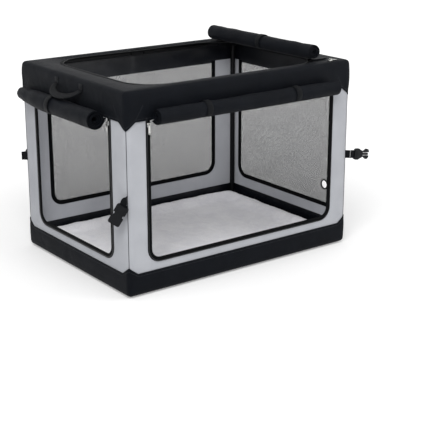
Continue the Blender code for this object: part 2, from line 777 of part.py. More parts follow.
def windows(outer, body):
    """Mesh windows, each in a black binding that laps the wall round it."""
    band_top = BOTTOM_BAND_HEIGHT + SEAM_GAP
    binding_top = BAND_EDGE_Z - SEAM_GAP
    rear = trim(copy_of(outer), slab(-MID_X, MID_X, band_top, binding_top, 1))
    rear = cut(trim(rear, rear_window(WINDOW_BINDING_WIDTH)), rear_window(0))
    loop = rounded_rectangle(
        -REAR_WINDOW_HALF_LENGTH - MESH_LAP,
        REAR_WINDOW_HALF_LENGTH + MESH_LAP,
        REAR_WINDOW_SILL - MESH_LAP,
        REAR_WINDOW_HEAD + MESH_LAP,
        DOOR_CORNER_RADIUS + MESH_LAP,
    )
    place = placed(X_AXIS, Z_AXIS, (0, SIDE_Y - BAND_THICKNESS / 2, 0))
    rear = join(rear, outline([loop], MESH_THICKNESS, place))
    body["left_end"].add("rear_window", rear, MESH_CLOTH)

    right = trim(copy_of(outer), slab(*end_span(1), band_top, binding_top))
    right = cut(trim(right, right_window(WINDOW_BINDING_WIDTH)), right_window(0))
    loop = rounded_rectangle(
        -RIGHT_WINDOW_HALF_WIDTH - MESH_LAP,
        RIGHT_WINDOW_HALF_WIDTH + MESH_LAP,
        RIGHT_WINDOW_SILL - MESH_LAP,
        RIGHT_WINDOW_HEAD + MESH_LAP,
        DOOR_CORNER_RADIUS + MESH_LAP,
    )
    port = (PORT_Y, PORT_Z)
    rim = PORT_BORE_RADIUS + PORT_RIM_WIDTH
    neck = PORT_BORE_RADIUS + PORT_RIM_WIDTH / 2
    place = placed(Y_AXIS, Z_AXIS, (END_X - BAND_THICKNESS / 2, 0, 0))
    hole = circle(port, neck + SEAM_GAP, LOOP_SIDES)
    right = join(right, outline([loop, hole], MESH_THICKNESS, place))
    body["right_end"].add("right_window", right, MESH_CLOTH)

    bore = circle(port, PORT_BORE_RADIUS, LOOP_SIDES)
    ring = outline([circle(port, rim, LOOP_SIDES), bore], PORT_RIM_THICKNESS, place)
    around = [circle(port, rim + OVERRUN, LOOP_SIDES), circle(port, neck, LOOP_SIDES)]
    groove = outline(around, MESH_THICKNESS + 2 * SEAM_GAP, place)
    body["right_end"].add("port_ring", cut(ring, groove), PLASTIC)


# Rolled flaps


def thickened(path, thickness):
    """The outline of a strip of cloth that follows a path."""
    left, right = [], []
    for k, (x, y) in enumerate(path):
        before = path[max(k - 1, 0)]
        after = path[min(k + 1, len(path) - 1)]
        run = Vector((after[0] - before[0], after[1] - before[1])).normalized()
        left.append((x - run.y * thickness / 2, y + run.x * thickness / 2))
        right.append((x + run.y * thickness / 2, y - run.x * thickness / 2))
    return left + right[::-1]


def roll_path(start, centre, radius, first_angle):
    """From the edge where a flap is sewn on, round and round into the middle of its roll."""
    path = list(start)
    steps = round(ROLL_TURNS * ROLL_STEPS)
    outer = radius - FLAP_THICKNESS / 2
    for k in range(steps + 1):
        angle = first_angle - math.tau * k / ROLL_STEPS
        reach = outer - ROLL_PITCH * k / ROLL_STEPS
        path.append((centre[0] + reach * math.cos(angle), centre[1] + reach * math.sin(angle)))
    return path


def sewn_edge(face):
    """Where a door flap comes out under the top band, in the band's own layer."""
    level = BAND_EDGE_Z - SEAM_GAP - FLAP_THICKNESS / 2
    return [(face + BAND_THICKNESS, level), (face + BAND_THICKNESS / 2, level)]


def roll_loop(centre, radius, place):
    outer = circle(centre, radius + LOOP_THICKNESS, LOOP_SIDES)
    inner = circle(centre, radius - FLAP_THICKNESS / 2, LOOP_SIDES)
    return outline([outer, inner], LOOP_WIDTH, place)


def front_roll(body):
    across = -SIDE_Y - SEAM_GAP - LOOP_THICKNESS - SEAM_GAP - FRONT_ROLL_RADIUS
    centre = (across, BAND_EDGE_Z + FRONT_ROLL_RISE)
    sewn = sewn_edge(-SIDE_Y)
    path = roll_path(sewn, centre, FRONT_ROLL_RADIUS, FRONT_ROLL_ENTRY)
    low = -TRAY_X + FRONT_ROLL_END_GAP
    high = TRAY_X - FRONT_ROLL_END_GAP
    loop = thickened(path, FLAP_THICKNESS)
    made = outline([loop], high - low, placed(Y_AXIS, Z_AXIS, ((low + high) / 2, 0, 0)))
    for x in (-FRONT_ROLL_LOOP_X, FRONT_ROLL_LOOP_X):
        place = placed(Y_AXIS, Z_AXIS, (x, 0, 0))
        made = join(made, roll_loop(centre, FRONT_ROLL_RADIUS, place))
    body["left_end"].add("front_door_roll", made, BLACK_CLOTH)


def left_roll(body):
    across = -END_X - SEAM_GAP - LOOP_THICKNESS - SEAM_GAP - LEFT_ROLL_RADIUS
    centre = (across, BAND_EDGE_Z + LEFT_ROLL_RISE)
    sewn = sewn_edge(-END_X)
    path = roll_path(sewn, centre, LEFT_ROLL_RADIUS, LEFT_ROLL_ENTRY)
    loop = thickened(path, FLAP_THICKNESS)
    middle = (LEFT_ROLL_NEAR + LEFT_ROLL_FAR) / 2
    length = LEFT_ROLL_FAR - LEFT_ROLL_NEAR
    made = outline([loop], length, placed(X_AXIS, Z_AXIS, (0, middle, 0)))
    place = placed(X_AXIS, Z_AXIS, (0, LEFT_ROLL_LOOP_Y, 0))
    made = join(made, roll_loop(centre, LEFT_ROLL_RADIUS, place))
    body["left_end"].add("left_door_roll", made, BLACK_CLOTH)


def roof_roll(body):
    lift = HEIGHT + SEAM_GAP
    centre = (TRAY_X - ROOF_ROLL_OVERHANG, lift + LOOP_THICKNESS + SEAM_GAP + ROOF_ROLL_RADIUS)
    sewn = [
        (TRAY_X + ROOF_TAIL, lift + FLAP_THICKNESS / 2),
        (TRAY_X, lift + FLAP_THICKNESS / 2),
    ]
    path = roll_path(sewn, centre, ROOF_ROLL_RADIUS, ROOF_ROLL_ENTRY)
    loop = thickened(path, FLAP_THICKNESS)
    middle = (ROOF_ROLL_NEAR + ROOF_ROLL_FAR) / 2
    length = ROOF_ROLL_FAR - ROOF_ROLL_NEAR
    made = outline([loop], length, placed(X_AXIS, Z_AXIS, (0, middle, 0)))
    place = placed(X_AXIS, Z_AXIS, (0, ROOF_ROLL_LOOP_Y, 0))
    made = join(made, roll_loop(centre, ROOF_ROLL_RADIUS, place))
    body["right_end"].add("roof_flap_roll", made, BLACK_CLOTH)


# Mat


def spread(count, half, raised):
    """Places from one edge to the other, with a line where the raised edge ends."""
    middle = count // 2
    near = [half - raised * k / MAT_RAISED_ROWS for k in range(MAT_RAISED_ROWS)]
    left = middle - MAT_RAISED_ROWS
    near += [(half - raised) * (left - k) / left for k in range(left)]
    return [-place for place in near] + [0] + near[::-1]


def mat(body):
    """A plush mat that lies on the floor and over the rails, whose hubs lift its middle as they fold."""
    half_x = END_X - MAT_END_GAP - FRAME_GAP - WALL_INSET
    half_y = SIDE_Y - MAT_SIDE_GAP - FRAME_GAP - WALL_INSET
    raised_x = half_x - PIVOT_X - CHANNEL_ROOT_SETBACK + MAT_RAIL_CLEARANCE
    raised_y = half_y - BOTTOM_RAIL_Y + CHANNEL_HALF_WIDTH + MAT_RAIL_CLEARANCE
    raised = BOTTOM_RAIL_Z + CHANNEL_WEB_TOP + SEAM_GAP
    flat = BAND_THICKNESS + SEAM_GAP
    places_x = spread(MAT_COLUMNS, half_x, raised_x)
    places_y = spread(MAT_ROWS, half_y, raised_y)
    shape = bmesh.new()
    bmesh.ops.create_cube(shape, size=1)
    for axis, count in ((0, MAT_COLUMNS), (1, MAT_ROWS)):
        across = [e for e in shape.edges if e.verts[0].co[axis] * e.verts[1].co[axis] < 0]
        bmesh.ops.subdivide_edges(shape, edges=across, cuts=count - 1, use_grid_fill=True)
    for vert in shape.verts:
        top = vert.co.z > 0
        x = places_x[round((vert.co.x + 1 / 2) * MAT_COLUMNS)]
        y = places_y[round((vert.co.y + 1 / 2) * MAT_ROWS)]
        corner_x = max(abs(x) - half_x + MAT_CORNER_RADIUS, 0)
        corner_y = max(abs(y) - half_y + MAT_CORNER_RADIUS, 0)
        far = math.hypot(corner_x, corner_y)
        if far > 0:
            pull = max(corner_x, corner_y) / far
            x = math.copysign(abs(x) - corner_x + corner_x * pull, x)
            y = math.copysign(abs(y) - corner_y + corner_y * pull, y)
        deep_x, deep_y = half_x - abs(x), half_y - abs(y)
        run = min(max(min(deep_x - raised_x, deep_y - raised_y) / MAT_EDGE_RUN, 0), 1)
        base = raised + (flat - raised) * math.sin(run * math.pi / 2) ** 2
        crown = MAT_CROWN * math.sin(min(deep_x, deep_y, MAT_EDGE_RUN) / MAT_EDGE_RUN * math.pi / 2)
        vert.co = (x, y, base + (MAT_THICKNESS - MAT_CROWN + crown if top else 0))
    body["bottom_hub"].add("mat", from_bmesh("mat", shape), PLUSH)


# Handles and straps


def handles(body):
    """Curved webbing handles, which swing on the hems at their two ends."""
    turns = [math.pi * k / HANDLE_STEPS for k in range(HANDLE_STEPS + 1)]
    span = HANDLE_HALF_SPAN - HANDLE_WIDTH
    sag = HANDLE_SAG - HANDLE_WIDTH
    outer = [(HANDLE_HALF_SPAN * math.cos(a), -HANDLE_SAG * math.sin(a)) for a in turns]
    inner = [(-span * math.cos(a), -sag * math.sin(a)) for a in turns]
    for name, end, lift in (
        ("left", -1, LEFT_HANDLE_LIFT),
        ("right", 1, RIGHT_HANDLE_LIFT),
    ):
        x, z = end * HANDLE_AXIS_X, HANDLE_AXIS_Z
        up = Vector((-end * math.sin(lift), 0, math.cos(lift)))
        made = outline([outer + inner], HANDLE_THICKNESS, placed(Y_AXIS, up, (x, 0, z)))
        for side in (-1, 1):
            ends = (x, side * span, z), (x, side * HANDLE_HALF_SPAN, z)
            made = join(made, rod(HANDLE_HEM_RADIUS, *ends, TUBE_SIDES))
        body[name + "_handle"].add(name + "_handle", made, WEBBING)


def handle_tabs(end):
    """Sewn tabs on a top band, from which its handle hangs."""
    xs = sorted((end * (END_X - BAND_THICKNESS / 2), end * (END_X + TAB_THICKNESS)))
    tabs = []
    for side in (-1, 1):
        middle = side * (HANDLE_HALF_SPAN - HANDLE_WIDTH / 2)
        foot = HANDLE_AXIS_Z + HANDLE_HEM_RADIUS + SEAM_GAP
        low = (xs[0], middle - HANDLE_WIDTH / 2, foot)
        high = (xs[1], middle + HANDLE_WIDTH / 2, HANDLE_AXIS_Z + HANDLE_TAB_HEIGHT)
        tabs.append(block(low, high))
    return tabs


def corner_tab(end, side):
    """A strip sewn into a corner seam, standing out on the corner's diagonal."""
    centre = Vector((end * (END_X - EDGE_RADIUS), side * (SIDE_Y - EDGE_RADIUS), STRAP_HEIGHT))
    out = Vector((end, side, 0)).normalized()
    axis = Vector((end * STRAP_AXIS_X, side * STRAP_AXIS_Y, STRAP_HEIGHT))
    start = EDGE_RADIUS - WALL_INSET - WALL_THICKNESS / 2
    stop = (axis - centre).length - STRAP_TAB_SETBACK
    half = STRAP_WEB_WIDTH / 2
    loop = [(start, -half), (stop, -half), (stop, half), (start, half)]
    return outline([loop], STRAP_WEB_THICKNESS, placed(out, Z_AXIS, centre))


def strap_frame(end, side, heading, droop):
    """The placement of a strap's own plane, and of its buckle, tipped down by droop."""
    axis = Vector((end * STRAP_AXIS_X, side * STRAP_AXIS_Y, STRAP_HEIGHT))
    out = Vector((math.cos(heading), math.sin(heading), 0))
    plane = placed(out, Z_AXIS, axis)
    tip = placed(
        out * math.cos(droop) - Z_AXIS * math.sin(droop),
        Z_AXIS * math.cos(droop) + out * math.sin(droop),
        axis,
    )
    return plane, tip


def strap_web(plane, droop):
    half = STRAP_WEB_WIDTH / 2
    end = BUCKLE_START + BUCKLE_POCKET_DEPTH - BUCKLE_POCKET_CLEARANCE
    along = Vector((math.cos(droop), -math.sin(droop)))
    up = Vector((math.sin(droop), math.cos(droop)))
    high = along * end + up * half
    low = along * end - up * half
    turn = along * BUCKLE_START / 2
    loop = [(0, -half)]
    if droop > FRONT_RIGHT_DROOP:
        loop += [tuple(turn - up * half), tuple(low), tuple(high), tuple(turn + up * half)]
    else:
        loop += [tuple(low), tuple(high)]
    loop += [(0, half)]
    web = outline([loop], STRAP_WEB_THICKNESS, plane)
    foot = plane @ Vector((0, -half, 0))
    head = plane @ Vector((0, half, 0))
    return join(web, rod(STRAP_BARREL_RADIUS, foot, head, TUBE_SIDES))


def pocket(plane):
    """The slot in a buckle's heel that its webbing runs into."""
    half = STRAP_WEB_WIDTH / 2 + BUCKLE_POCKET_CLEARANCE
    start, stop = BUCKLE_START - SMALL_OVERRUN, BUCKLE_START + BUCKLE_POCKET_DEPTH
    loop = [(start, -half), (stop, -half), (stop, half), (start, half)]
    return outline([loop], STRAP_WEB_THICKNESS + 2 * BUCKLE_POCKET_CLEARANCE, plane)


def male_buckle(plane):
    """The pronged half: a heel, a narrow waist, two springy prongs and a centre guide."""
    heel = BUCKLE_START + MALE_BASE_LENGTH
    prong = STRAP_REACH - heel
    guide = MALE_GUIDE_HALF_WIDTH
    side = [
        (BUCKLE_START + along * MALE_BASE_LENGTH, across * BUCKLE_HALF_WIDTH)
        for along, across in MALE_HEEL_SHARES
    ]
    side += [
        (heel + along * prong, across * BUCKLE_HALF_WIDTH)
        for along, across in MALE_PRONG_SHARES
    ]
    side += [
        (STRAP_REACH, guide + MALE_SLOT_WIDTH),
        (heel + MALE_SLOT_ROOT_SHARE * prong, guide + MALE_SLOT_WIDTH),
        (heel + MALE_SLOT_ROOT_SHARE * prong, guide),
        (heel + MALE_GUIDE_SHARE * prong, guide),
    ]
    loop = side + [(s, -z) for s, z in reversed(side)]
    return cut(outline([loop], MALE_THICKNESS, plane), pocket(plane))


def female_buckle(plane):
    """The socket half: a flat housing with a mouth and a release window down each side."""
    half = BUCKLE_HALF_WIDTH
    ease = FEMALE_CORNER_CUT
    loop = [
        (BUCKLE_START, -half + ease),
        (BUCKLE_START + ease, -half),
        (STRAP_REACH - ease, -half),
        (STRAP_REACH, -half + ease),
        (STRAP_REACH, half - ease),
        (STRAP_REACH - ease, half),
        (BUCKLE_START + ease, half),
        (BUCKLE_START, half - ease),
    ]
    housing = outline([loop], FEMALE_THICKNESS, plane)
    start = STRAP_REACH - FEMALE_MOUTH_DEPTH
    mouth_half = FEMALE_MOUTH_HALF_WIDTH
    reach = STRAP_REACH + SMALL_OVERRUN
    mouth = [(start, -mouth_half), (reach, -mouth_half), (reach, mouth_half), (start, mouth_half)]
    housing = cut(housing, pocket(plane), outline([mouth], FEMALE_MOUTH_HEIGHT, plane))
    middle = (BUCKLE_START + STRAP_REACH) / 2
    near = middle - FEMALE_WINDOW_LENGTH / 2
    far = middle + FEMALE_WINDOW_LENGTH / 2
    for side in (-1, 1):
        inner = side * (half - FEMALE_WINDOW_DEPTH)
        outer = side * (half + SMALL_OVERRUN)
        loop = [(near, outer), (near + ease, inner), (far - ease, inner), (far, outer)]
        housing = cut(housing, outline([loop], FEMALE_THICKNESS + SMALL_OVERRUN, plane))
    return housing


def straps(body):
    quarter = math.pi / 2
    for end_name, end, face, side, heading, droop in (
        ("left", -1, "front", -1, 1.5 * quarter, FRONT_LEFT_DROOP),
        ("right", 1, "front", -1, 0, FRONT_RIGHT_DROOP),
        ("left", -1, "rear", 1, 0, 0),
        ("right", 1, "rear", 1, 2 * quarter, 0),
    ):
        name = f"{face}_{end_name}"
        carrier = body[name + "_strap"]
        plane, tip = strap_frame(end, side, heading, droop)
        carrier.add(name + "_strap", strap_web(plane, droop), WEBBING)
        buckle = female_buckle(tip) if end < 0 else male_buckle(tip)
        carrier.add(name + "_buckle", buckle, PLASTIC)


# Zip sliders


def slider(place):
    """A slider body with two ears and a pin. It faces along its placement's third axis."""
    half = SLIDER_WIDTH / 2
    length = SLIDER_LENGTH / 2
    foot = SEAM_GAP
    top = foot + SLIDER_THICKNESS
    ear = PULL_WIDTH / 2 + SLIDE_GAP
    peak = top + SLIDER_EAR_HEIGHT
    pin = top + SLIDER_EAR_HEIGHT / 2
    pieces = [rounded_block((-half, -length, foot), (half, length, top), SLIDER_THICKNESS / 4, 1)]
    for side in (-1, 1):
        xs = sorted((side * ear, side * (ear + SLIDER_EAR_THICKNESS)))
        pieces.append(
            block(
                (xs[0], -SLIDER_EAR_HEIGHT / 2, top - SLIDER_THICKNESS / 2),
                (xs[1], SLIDER_EAR_HEIGHT / 2, peak),
            )
        )
    reach = ear + SLIDER_EAR_THICKNESS / 2
    pieces.append(rod(SLIDER_PIN_RADIUS, (-reach, 0, pin), (reach, 0, pin), TUBE_SIDES // 2 + 1))
    made = join(pieces[0], *pieces[1:])
    made.data.transform(place)
    return made


def pull(place, droop=0):
    """A pull tab on its slider's pin. It lies along its placement's -y, tipped in by droop."""
    pin = PULL_STANDOFF
    half = PULL_WIDTH / 2
    eye = rod(PULL_EYE_RADIUS, (-half, 0, pin), (half, 0, pin), TUBE_SIDES)
    tab_start = -PULL_EYE_RADIUS / 2
    rounding = half
    quarter = math.pi / 2
    tip = (0, -PULL_LENGTH + rounding)
    loop = [(half, tab_start), (-half, tab_start)]
    loop += arc(tip, rounding, 2 * quarter, 4 * quarter, ARC_STEPS)
    hole = circle(tip, PULL_HOLE_RADIUS, TUBE_SIDES)
    tab = outline([loop, hole], PULL_THICKNESS, placed(X_AXIS, Y_AXIS, (0, 0, pin)))
    reach = half + SMALL_OVERRUN
    bore = rod(PULL_EYE_BORE, (-reach, 0, pin), (reach, 0, pin), TUBE_SIDES)
    made = cut(join(eye, tab), bore)
    axis = Matrix.Translation(Z_AXIS * pin)
    made.data.transform(place @ axis @ Matrix.Rotation(droop, 4, "X") @ axis.inverted())
    return made


def zips(body):
    front = placed(X_AXIS, Z_AXIS, (FRONT_SLIDER_X, -SIDE_Y, SLIDER_Z))
    left = placed(-Y_AXIS, Z_AXIS, (-END_X, LEFT_SLIDER_Y, SLIDER_Z))
    roof = placed(Y_AXIS, -X_AXIS, (TRAY_X + ROOF_SLIDER_INSET, ROOF_SLIDER_Y, HEIGHT))
    body["front_slider"].add("front_slider", slider(front), ZINC)
    body["front_pull"].add("front_pull", pull(front), ZINC)
    body["left_slider"].add("left_slider", slider(left), ZINC)
    body["left_pull"].add("left_pull", pull(left), ZINC)
    body["right_end"].add("roof_slider", slider(roof), ZINC)
    body["roof_pull"].add("roof_pull", pull(roof, ROOF_PULL_DROOP), ZINC)


def build():
    body = bodies()
    frame(body)
    outer = layer(0, BAND_THICKNESS)
    inner = layer(WALL_INSET, WALL_THICKNESS)
    bands(outer, body)
    walls(inner, body)
    tapes(outer, body)
    windows(outer, body)
    for spare in (outer, inner):
        bpy.data.objects.remove(spare, do_unlink=True)
    front_roll(body)
    left_roll(body)
    roof_roll(body)
    mat(body)
    handles(body)
    straps(body)
    zips(body)
    bpy.context.view_layer.update()


build()
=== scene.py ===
# %% [markdown]
# # A soft folding crate, dressed
#
# The real crate is a fold-flat tube frame in a sewn cover: black padded bands round the top
# and the foot, grey oxford cloth between them, black net windows, zipped door flaps rolled up
# above their doorways, and a plush mat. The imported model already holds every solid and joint.
# This lesson puts real cloth, webbing, plastic and metal on it, piece by piece.

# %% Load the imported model
import math
from collections import namedtuple
from itertools import accumulate

import bmesh
import bpy
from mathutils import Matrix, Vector, noise


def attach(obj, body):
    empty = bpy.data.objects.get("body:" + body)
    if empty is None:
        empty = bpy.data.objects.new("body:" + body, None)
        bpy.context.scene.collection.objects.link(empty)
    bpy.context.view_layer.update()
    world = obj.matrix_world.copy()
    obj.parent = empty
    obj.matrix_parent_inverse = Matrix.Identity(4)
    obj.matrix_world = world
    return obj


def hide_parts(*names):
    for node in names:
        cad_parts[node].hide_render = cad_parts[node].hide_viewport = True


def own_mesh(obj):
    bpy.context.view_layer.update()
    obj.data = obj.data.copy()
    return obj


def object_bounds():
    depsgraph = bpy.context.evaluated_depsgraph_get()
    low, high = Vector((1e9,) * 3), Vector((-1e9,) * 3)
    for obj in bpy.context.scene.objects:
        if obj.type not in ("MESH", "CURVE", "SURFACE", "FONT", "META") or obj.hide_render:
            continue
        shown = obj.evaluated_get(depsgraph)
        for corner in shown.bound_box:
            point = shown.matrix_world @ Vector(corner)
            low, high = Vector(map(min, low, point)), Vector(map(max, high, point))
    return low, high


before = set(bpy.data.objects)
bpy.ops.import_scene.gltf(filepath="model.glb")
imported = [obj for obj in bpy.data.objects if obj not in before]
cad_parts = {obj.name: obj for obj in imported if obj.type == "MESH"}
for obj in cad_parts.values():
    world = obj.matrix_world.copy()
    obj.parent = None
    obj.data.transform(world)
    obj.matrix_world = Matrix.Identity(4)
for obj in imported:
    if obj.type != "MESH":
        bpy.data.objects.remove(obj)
cad_box = [[float(c) for c in corner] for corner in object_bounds()]
print("nodes:", len(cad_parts), "CAD box:", cad_box)

# %% [markdown]
# The cloth pieces follow the same sizes as the solids: the crate's outside, the seams where
# the two end trays stop and the folding middle starts, and the heights of the two bands.

# %% Sizes of the cover, in metres
HALF_LENGTH, HALF_DEPTH, HEIGHT = 0.405, 0.29, 0.58
CORNER = 0.0135
SEAM_X, SEAM_GAP = 0.327, 0.0003
TOP_HEM, FOOT_HEM = 0.495, 0.066
POINT_DROP, POINT_HALF = 0.022, 0.03
BAND_CLOTH, WALL_CLOTH = 0.0025, 0.0012
WALL_DEPTH = 0.0028
UP, ALONG_X, ALONG_Y = Vector((0, 0, 1)), Vector((1, 0, 0)), Vector((0, 1, 0))
print("cover:", 2 * HALF_LENGTH, "x", 2 * HALF_DEPTH, "x", HEIGHT)

# %% [markdown]
# Colours are read off real cloth as sRGB, the way a swatch book gives them. Blender's nodes
# work in linear light, so one function turns a hex value into that.

# %% Colours
def linear(hex_colour):
    """An sRGB hex colour as linear red, green, blue and alpha."""
    shares = [int(hex_colour[k : k + 2], 16) / 255 for k in (1, 3, 5)]
    bent = [c / 12.92 if c <= 0.04045 else ((c + 0.055) / 1.055) ** 2.4 for c in shares]
    return (*bent, 1)


print("black cloth in linear light:", [round(c, 4) for c in linear("#11141A")[:3]])

# %% [markdown]
# One helper adds any node, sets it and wires it, which keeps each material short enough to
# read. The other two start a material, and end it with a Principled surface.

# %% Nodes and materials
def add_node(tree, kind, inputs=None, **settings):
    """Adds a node; an input takes a number, a colour, an output, or a node's first output."""
    made = tree.nodes.new("ShaderNode" + kind)
    for key, value in settings.items():
        setattr(made, key, value)
    for key, value in (inputs or {}).items():
        if isinstance(value, bpy.types.Node):
            value = value.outputs[0]
        if isinstance(value, bpy.types.NodeSocket):
            tree.links.new(value, made.inputs[key])
        else:
            made.inputs[key].default_value = value
    return made


def new_material(name):
    """A material, its nodes, and the coordinates that they can use."""
    made = bpy.data.materials.new(name)
    made.use_nodes = True
    made.node_tree.nodes.clear()
    return made, made.node_tree, add_node(made.node_tree, "TexCoord").outputs


def give_surface(tree, **sockets):
    """Ends a material with a surface whose sockets are numbers, colours or nodes."""
    inputs = {key.replace("_", " "): value for key, value in sockets.items()}
    add_node(tree, "OutputMaterial", {"Surface": add_node(tree, "BsdfPrincipled", inputs)})


print("helpers for materials: ready")

# %% [markdown]
# **Woven polyester oxford** is a basket of thick threads: where a warp thread lies on top it
# makes a bump across, where a weft thread does it makes one along. Two sine ridges and a
# checker that picks between them draw just that. Real 600-denier threads are 0.5 mm apart,
# finer than a pixel here, so they are drawn at 2 mm to show at all.

# %% The weave
def woven_height(tree, place, thread):
    """How high the threads stand: ridges across and along, in the squares of a checker."""
    split = add_node(tree, "SeparateXYZ", {0: place["UV"]})
    ridges = []
    for axis in (0, 1):
        turn = add_node(tree, "Math", {0: split.outputs[axis], 1: math.pi / thread}, operation="MULTIPLY")
        wave = add_node(tree, "Math", {0: turn}, operation="SINE")
        ridges.append(add_node(tree, "Math", {0: wave}, operation="ABSOLUTE"))
    over = add_node(tree, "TexChecker", {"Vector": place["UV"], "Scale": 1 / thread})
    return add_node(tree, "Mix", {0: over.outputs["Fac"], 2: ridges[0], 3: ridges[1]})


print("one thread of the weave is 2 mm wide")

# %% [markdown]
# Slow noise on top of the weave gives the soft dents and the slightly uneven dye of a sewn
# cover. The weave also paints shade into the gaps between the threads. A thread's crown is a
# little smoother than the gaps, so it shines a little more.

# %% Woven cloth
def woven_cloth(name, colour, shade, thread, rough, sheen, weave_depth, dents, gloss):
    made, tree, place = new_material(name)
    weave = woven_height(tree, place, thread)
    blotch = add_node(tree, "TexNoise", {"Vector": place["Object"], "Scale": 14, "Detail": 4})
    mixed = add_node(tree, "Math", {0: blotch, 1: weave}, operation="MULTIPLY")
    paint = add_node(tree, "MapRange", {0: mixed, 1: 0.05, 2: 0.6})
    # Uneven dye from the slow noise, and painted shade in the gaps between the threads.
    dye_and_painted_shade = add_node(tree, "Mix", {0: paint, 6: linear(shade), 7: linear(colour)}, data_type="RGBA")
    polish = add_node(tree, "MapRange", {0: weave, 3: rough + 0.06, 4: rough - 0.06})
    dent_size = {"Vector": place["Object"], "Scale": 9, "Detail": 2, "Distortion": 0.6}
    dent = add_node(tree, "TexNoise", dent_size)
    soft = add_node(tree, "Bump", {"Height": dent, "Strength": 0.6, "Distance": dents})
    thread_bump = {"Height": weave, "Strength": 0.5, "Distance": weave_depth, "Normal": soft}
    give_surface(
        tree, Base_Color=dye_and_painted_shade.outputs[2], Roughness=polish, Normal=add_node(tree, "Bump", thread_bump),
        Sheen_Weight=sheen, Sheen_Roughness=0.45, Specular_IOR_Level=gloss,
    )
    return made


# Solution-dyed 600D polyester, coated inside: near black with a dull blue-grey sheen.
BLACK_OXFORD = woven_cloth(
    "black_600d_oxford", "#11141A", "#090B0F", 0.002, 0.58, 0.012, 0.0003, 0.008, 0.06
)
# The same cloth in light grey: flat and chalky, with painted shade in the gaps between its threads.
GREY_OXFORD = woven_cloth(
    "grey_600d_oxford", "#C1C3C8", "#ABADB3", 0.002, 0.8, 0.05, 0.0002, 0.003, 0.14
)
# Zip tape is a tighter, thinner weave, so it looks smoother and a little darker.
ZIP_TAPE = woven_cloth(
    "polyester_zip_tape", "#0A0B0D", "#050607", 0.0014, 0.7, 0.008, 0.0002, 0.0004, 0.05
)
# The cloth's coated inside: smoother and shinier, with a cold blue cast.
COATED_LINING = woven_cloth(
    "coated_black_lining", "#12151C", "#0B0D12", 0.0016, 0.3, 0.0, 0.0001, 0.009, 0.32
)
print("cloths:", BLACK_OXFORD.name, GREY_OXFORD.name, ZIP_TAPE.name, COATED_LINING.name)

# %% [markdown]
# **Webbing** is polypropylene woven in narrow lengthwise ribs. Its ribs are 1.6 mm apart and
# its cross threads make a herringbone, so one sine runs across the strap and a second, bent
# by the first, runs along it.

# %% Webbing
RIB_WAVE, PICK_WAVE, PICK_LEAN = 0.0032, 0.0024, 0.0006


def ribbed_webbing():
    made, tree, place = new_material("polypropylene_webbing")
    split = add_node(tree, "SeparateXYZ", {0: place["UV"]})
    rib = add_node(tree, "Math", {0: split.outputs[1], 1: math.tau / RIB_WAVE}, operation="MULTIPLY")
    ribs = add_node(tree, "Math", {0: rib}, operation="SINE")
    lean = add_node(tree, "Math", {0: ribs, 1: PICK_LEAN, 2: split.outputs[0]}, operation="MULTIPLY_ADD")
    pick = add_node(tree, "Math", {0: lean, 1: math.tau / PICK_WAVE}, operation="MULTIPLY")
    picks = add_node(tree, "Math", {0: pick}, operation="SINE")
    height = add_node(tree, "Math", {0: ribs, 1: picks}, operation="ADD")
    # Painted shade: the grooves between the ribs and picks take the darker colour.
    shade = add_node(tree, "MapRange", {0: height, 1: -2, 2: 2})
    dye_and_painted_shade = add_node(tree, "Mix", {0: shade, 6: linear("#050607"), 7: linear("#131519")}, data_type="RGBA")
    bump = add_node(tree, "Bump", {"Height": height, "Strength": 0.5, "Distance": 0.0003})
    look = {"Roughness": 0.5, "Sheen_Weight": 0.008, "Specular_IOR_Level": 0.07}
    give_surface(tree, Base_Color=dye_and_painted_shade.outputs[2], Normal=bump, **look)
    return made


WEBBING = ribbed_webbing()
print("webbing:", WEBBING.name)

# %% [markdown]
# Thread, coil, moulded plastic, powder coat and plating are all a fine even grain at this
# size. One function draws it, and each real process sets its own scale, depth and gloss.

# %% Thread, plastic and metal
def speckled(name, colour, shade, rough, scale, depth, **sockets):
    """A fine even grain: moulded texture, powder coat, thread or plating."""
    made, tree, place = new_material(name)
    grain = add_node(tree, "TexNoise", {"Vector": place["Object"], "Scale": scale, "Detail": 3})
    dye_and_painted_shade = add_node(tree, "Mix", {0: grain, 6: linear(shade), 7: linear(colour)}, data_type="RGBA")
    gloss = add_node(tree, "MapRange", {0: grain, 3: rough - 0.06, 4: rough + 0.08})
    bump = add_node(tree, "Bump", {"Height": grain, "Strength": 0.4, "Distance": depth})
    give_surface(tree, Base_Color=dye_and_painted_shade.outputs[2], Roughness=gloss, Normal=bump, **sockets)
    return made


# Bonded polyester thread, a touch lighter than the cloth so that a seam reads as a dotted line.
THREAD = speckled(
    "bonded_polyester_thread", "#34363B", "#232529", 0.5, 900, 0.0001, Specular_IOR_Level=0.3
)
# Nylon coil: the zip's teeth, moulded nylon with a dull gloss.
COIL = speckled("nylon_zip_coil", "#1A1B1E", "#101113", 0.38, 700, 0.0001)
# Injection-moulded acetal with a fine spark-eroded texture: buckles, brackets and hubs.
MOULDED_ACETAL = speckled(
    "moulded_black_acetal", "#101216", "#090A0C", 0.42, 420, 0.0003, Specular_IOR_Level=0.14
)
# Steel tube with an orange-peel powder coat.
POWDER_COAT = speckled(
    "powder_coated_steel_tube", "#0D0E11", "#07080A", 0.36, 160, 0.0004, Specular_IOR_Level=0.14
)
# Zinc alloy, tumbled and nickel plated: bright, slightly warm, softly worn at its edges.
NICKEL_PLATE = speckled(
    "nickel_plated_zinc_alloy", "#CFCFCC", "#A5A5A2", 0.26, 260, 0.0001, Metallic=1.0
)
print("fittings:", THREAD.name, COIL.name, MOULDED_ACETAL.name, POWDER_COAT.name, NICKEL_PLATE.name)

# %% [markdown]
# **Window net** is knitted polyester. Its holes let the light through, so the material draws
# round holes on a staggered grid and makes them clear with alpha, on a single open sheet. As on
# the real net, the holes are half a millimetre wide and 1.3 mm apart in each of two rows.

# %% Window net
NET_PITCH, NET_HOLE, NET_BLUR = 0.0013, 0.00025, 0.00005


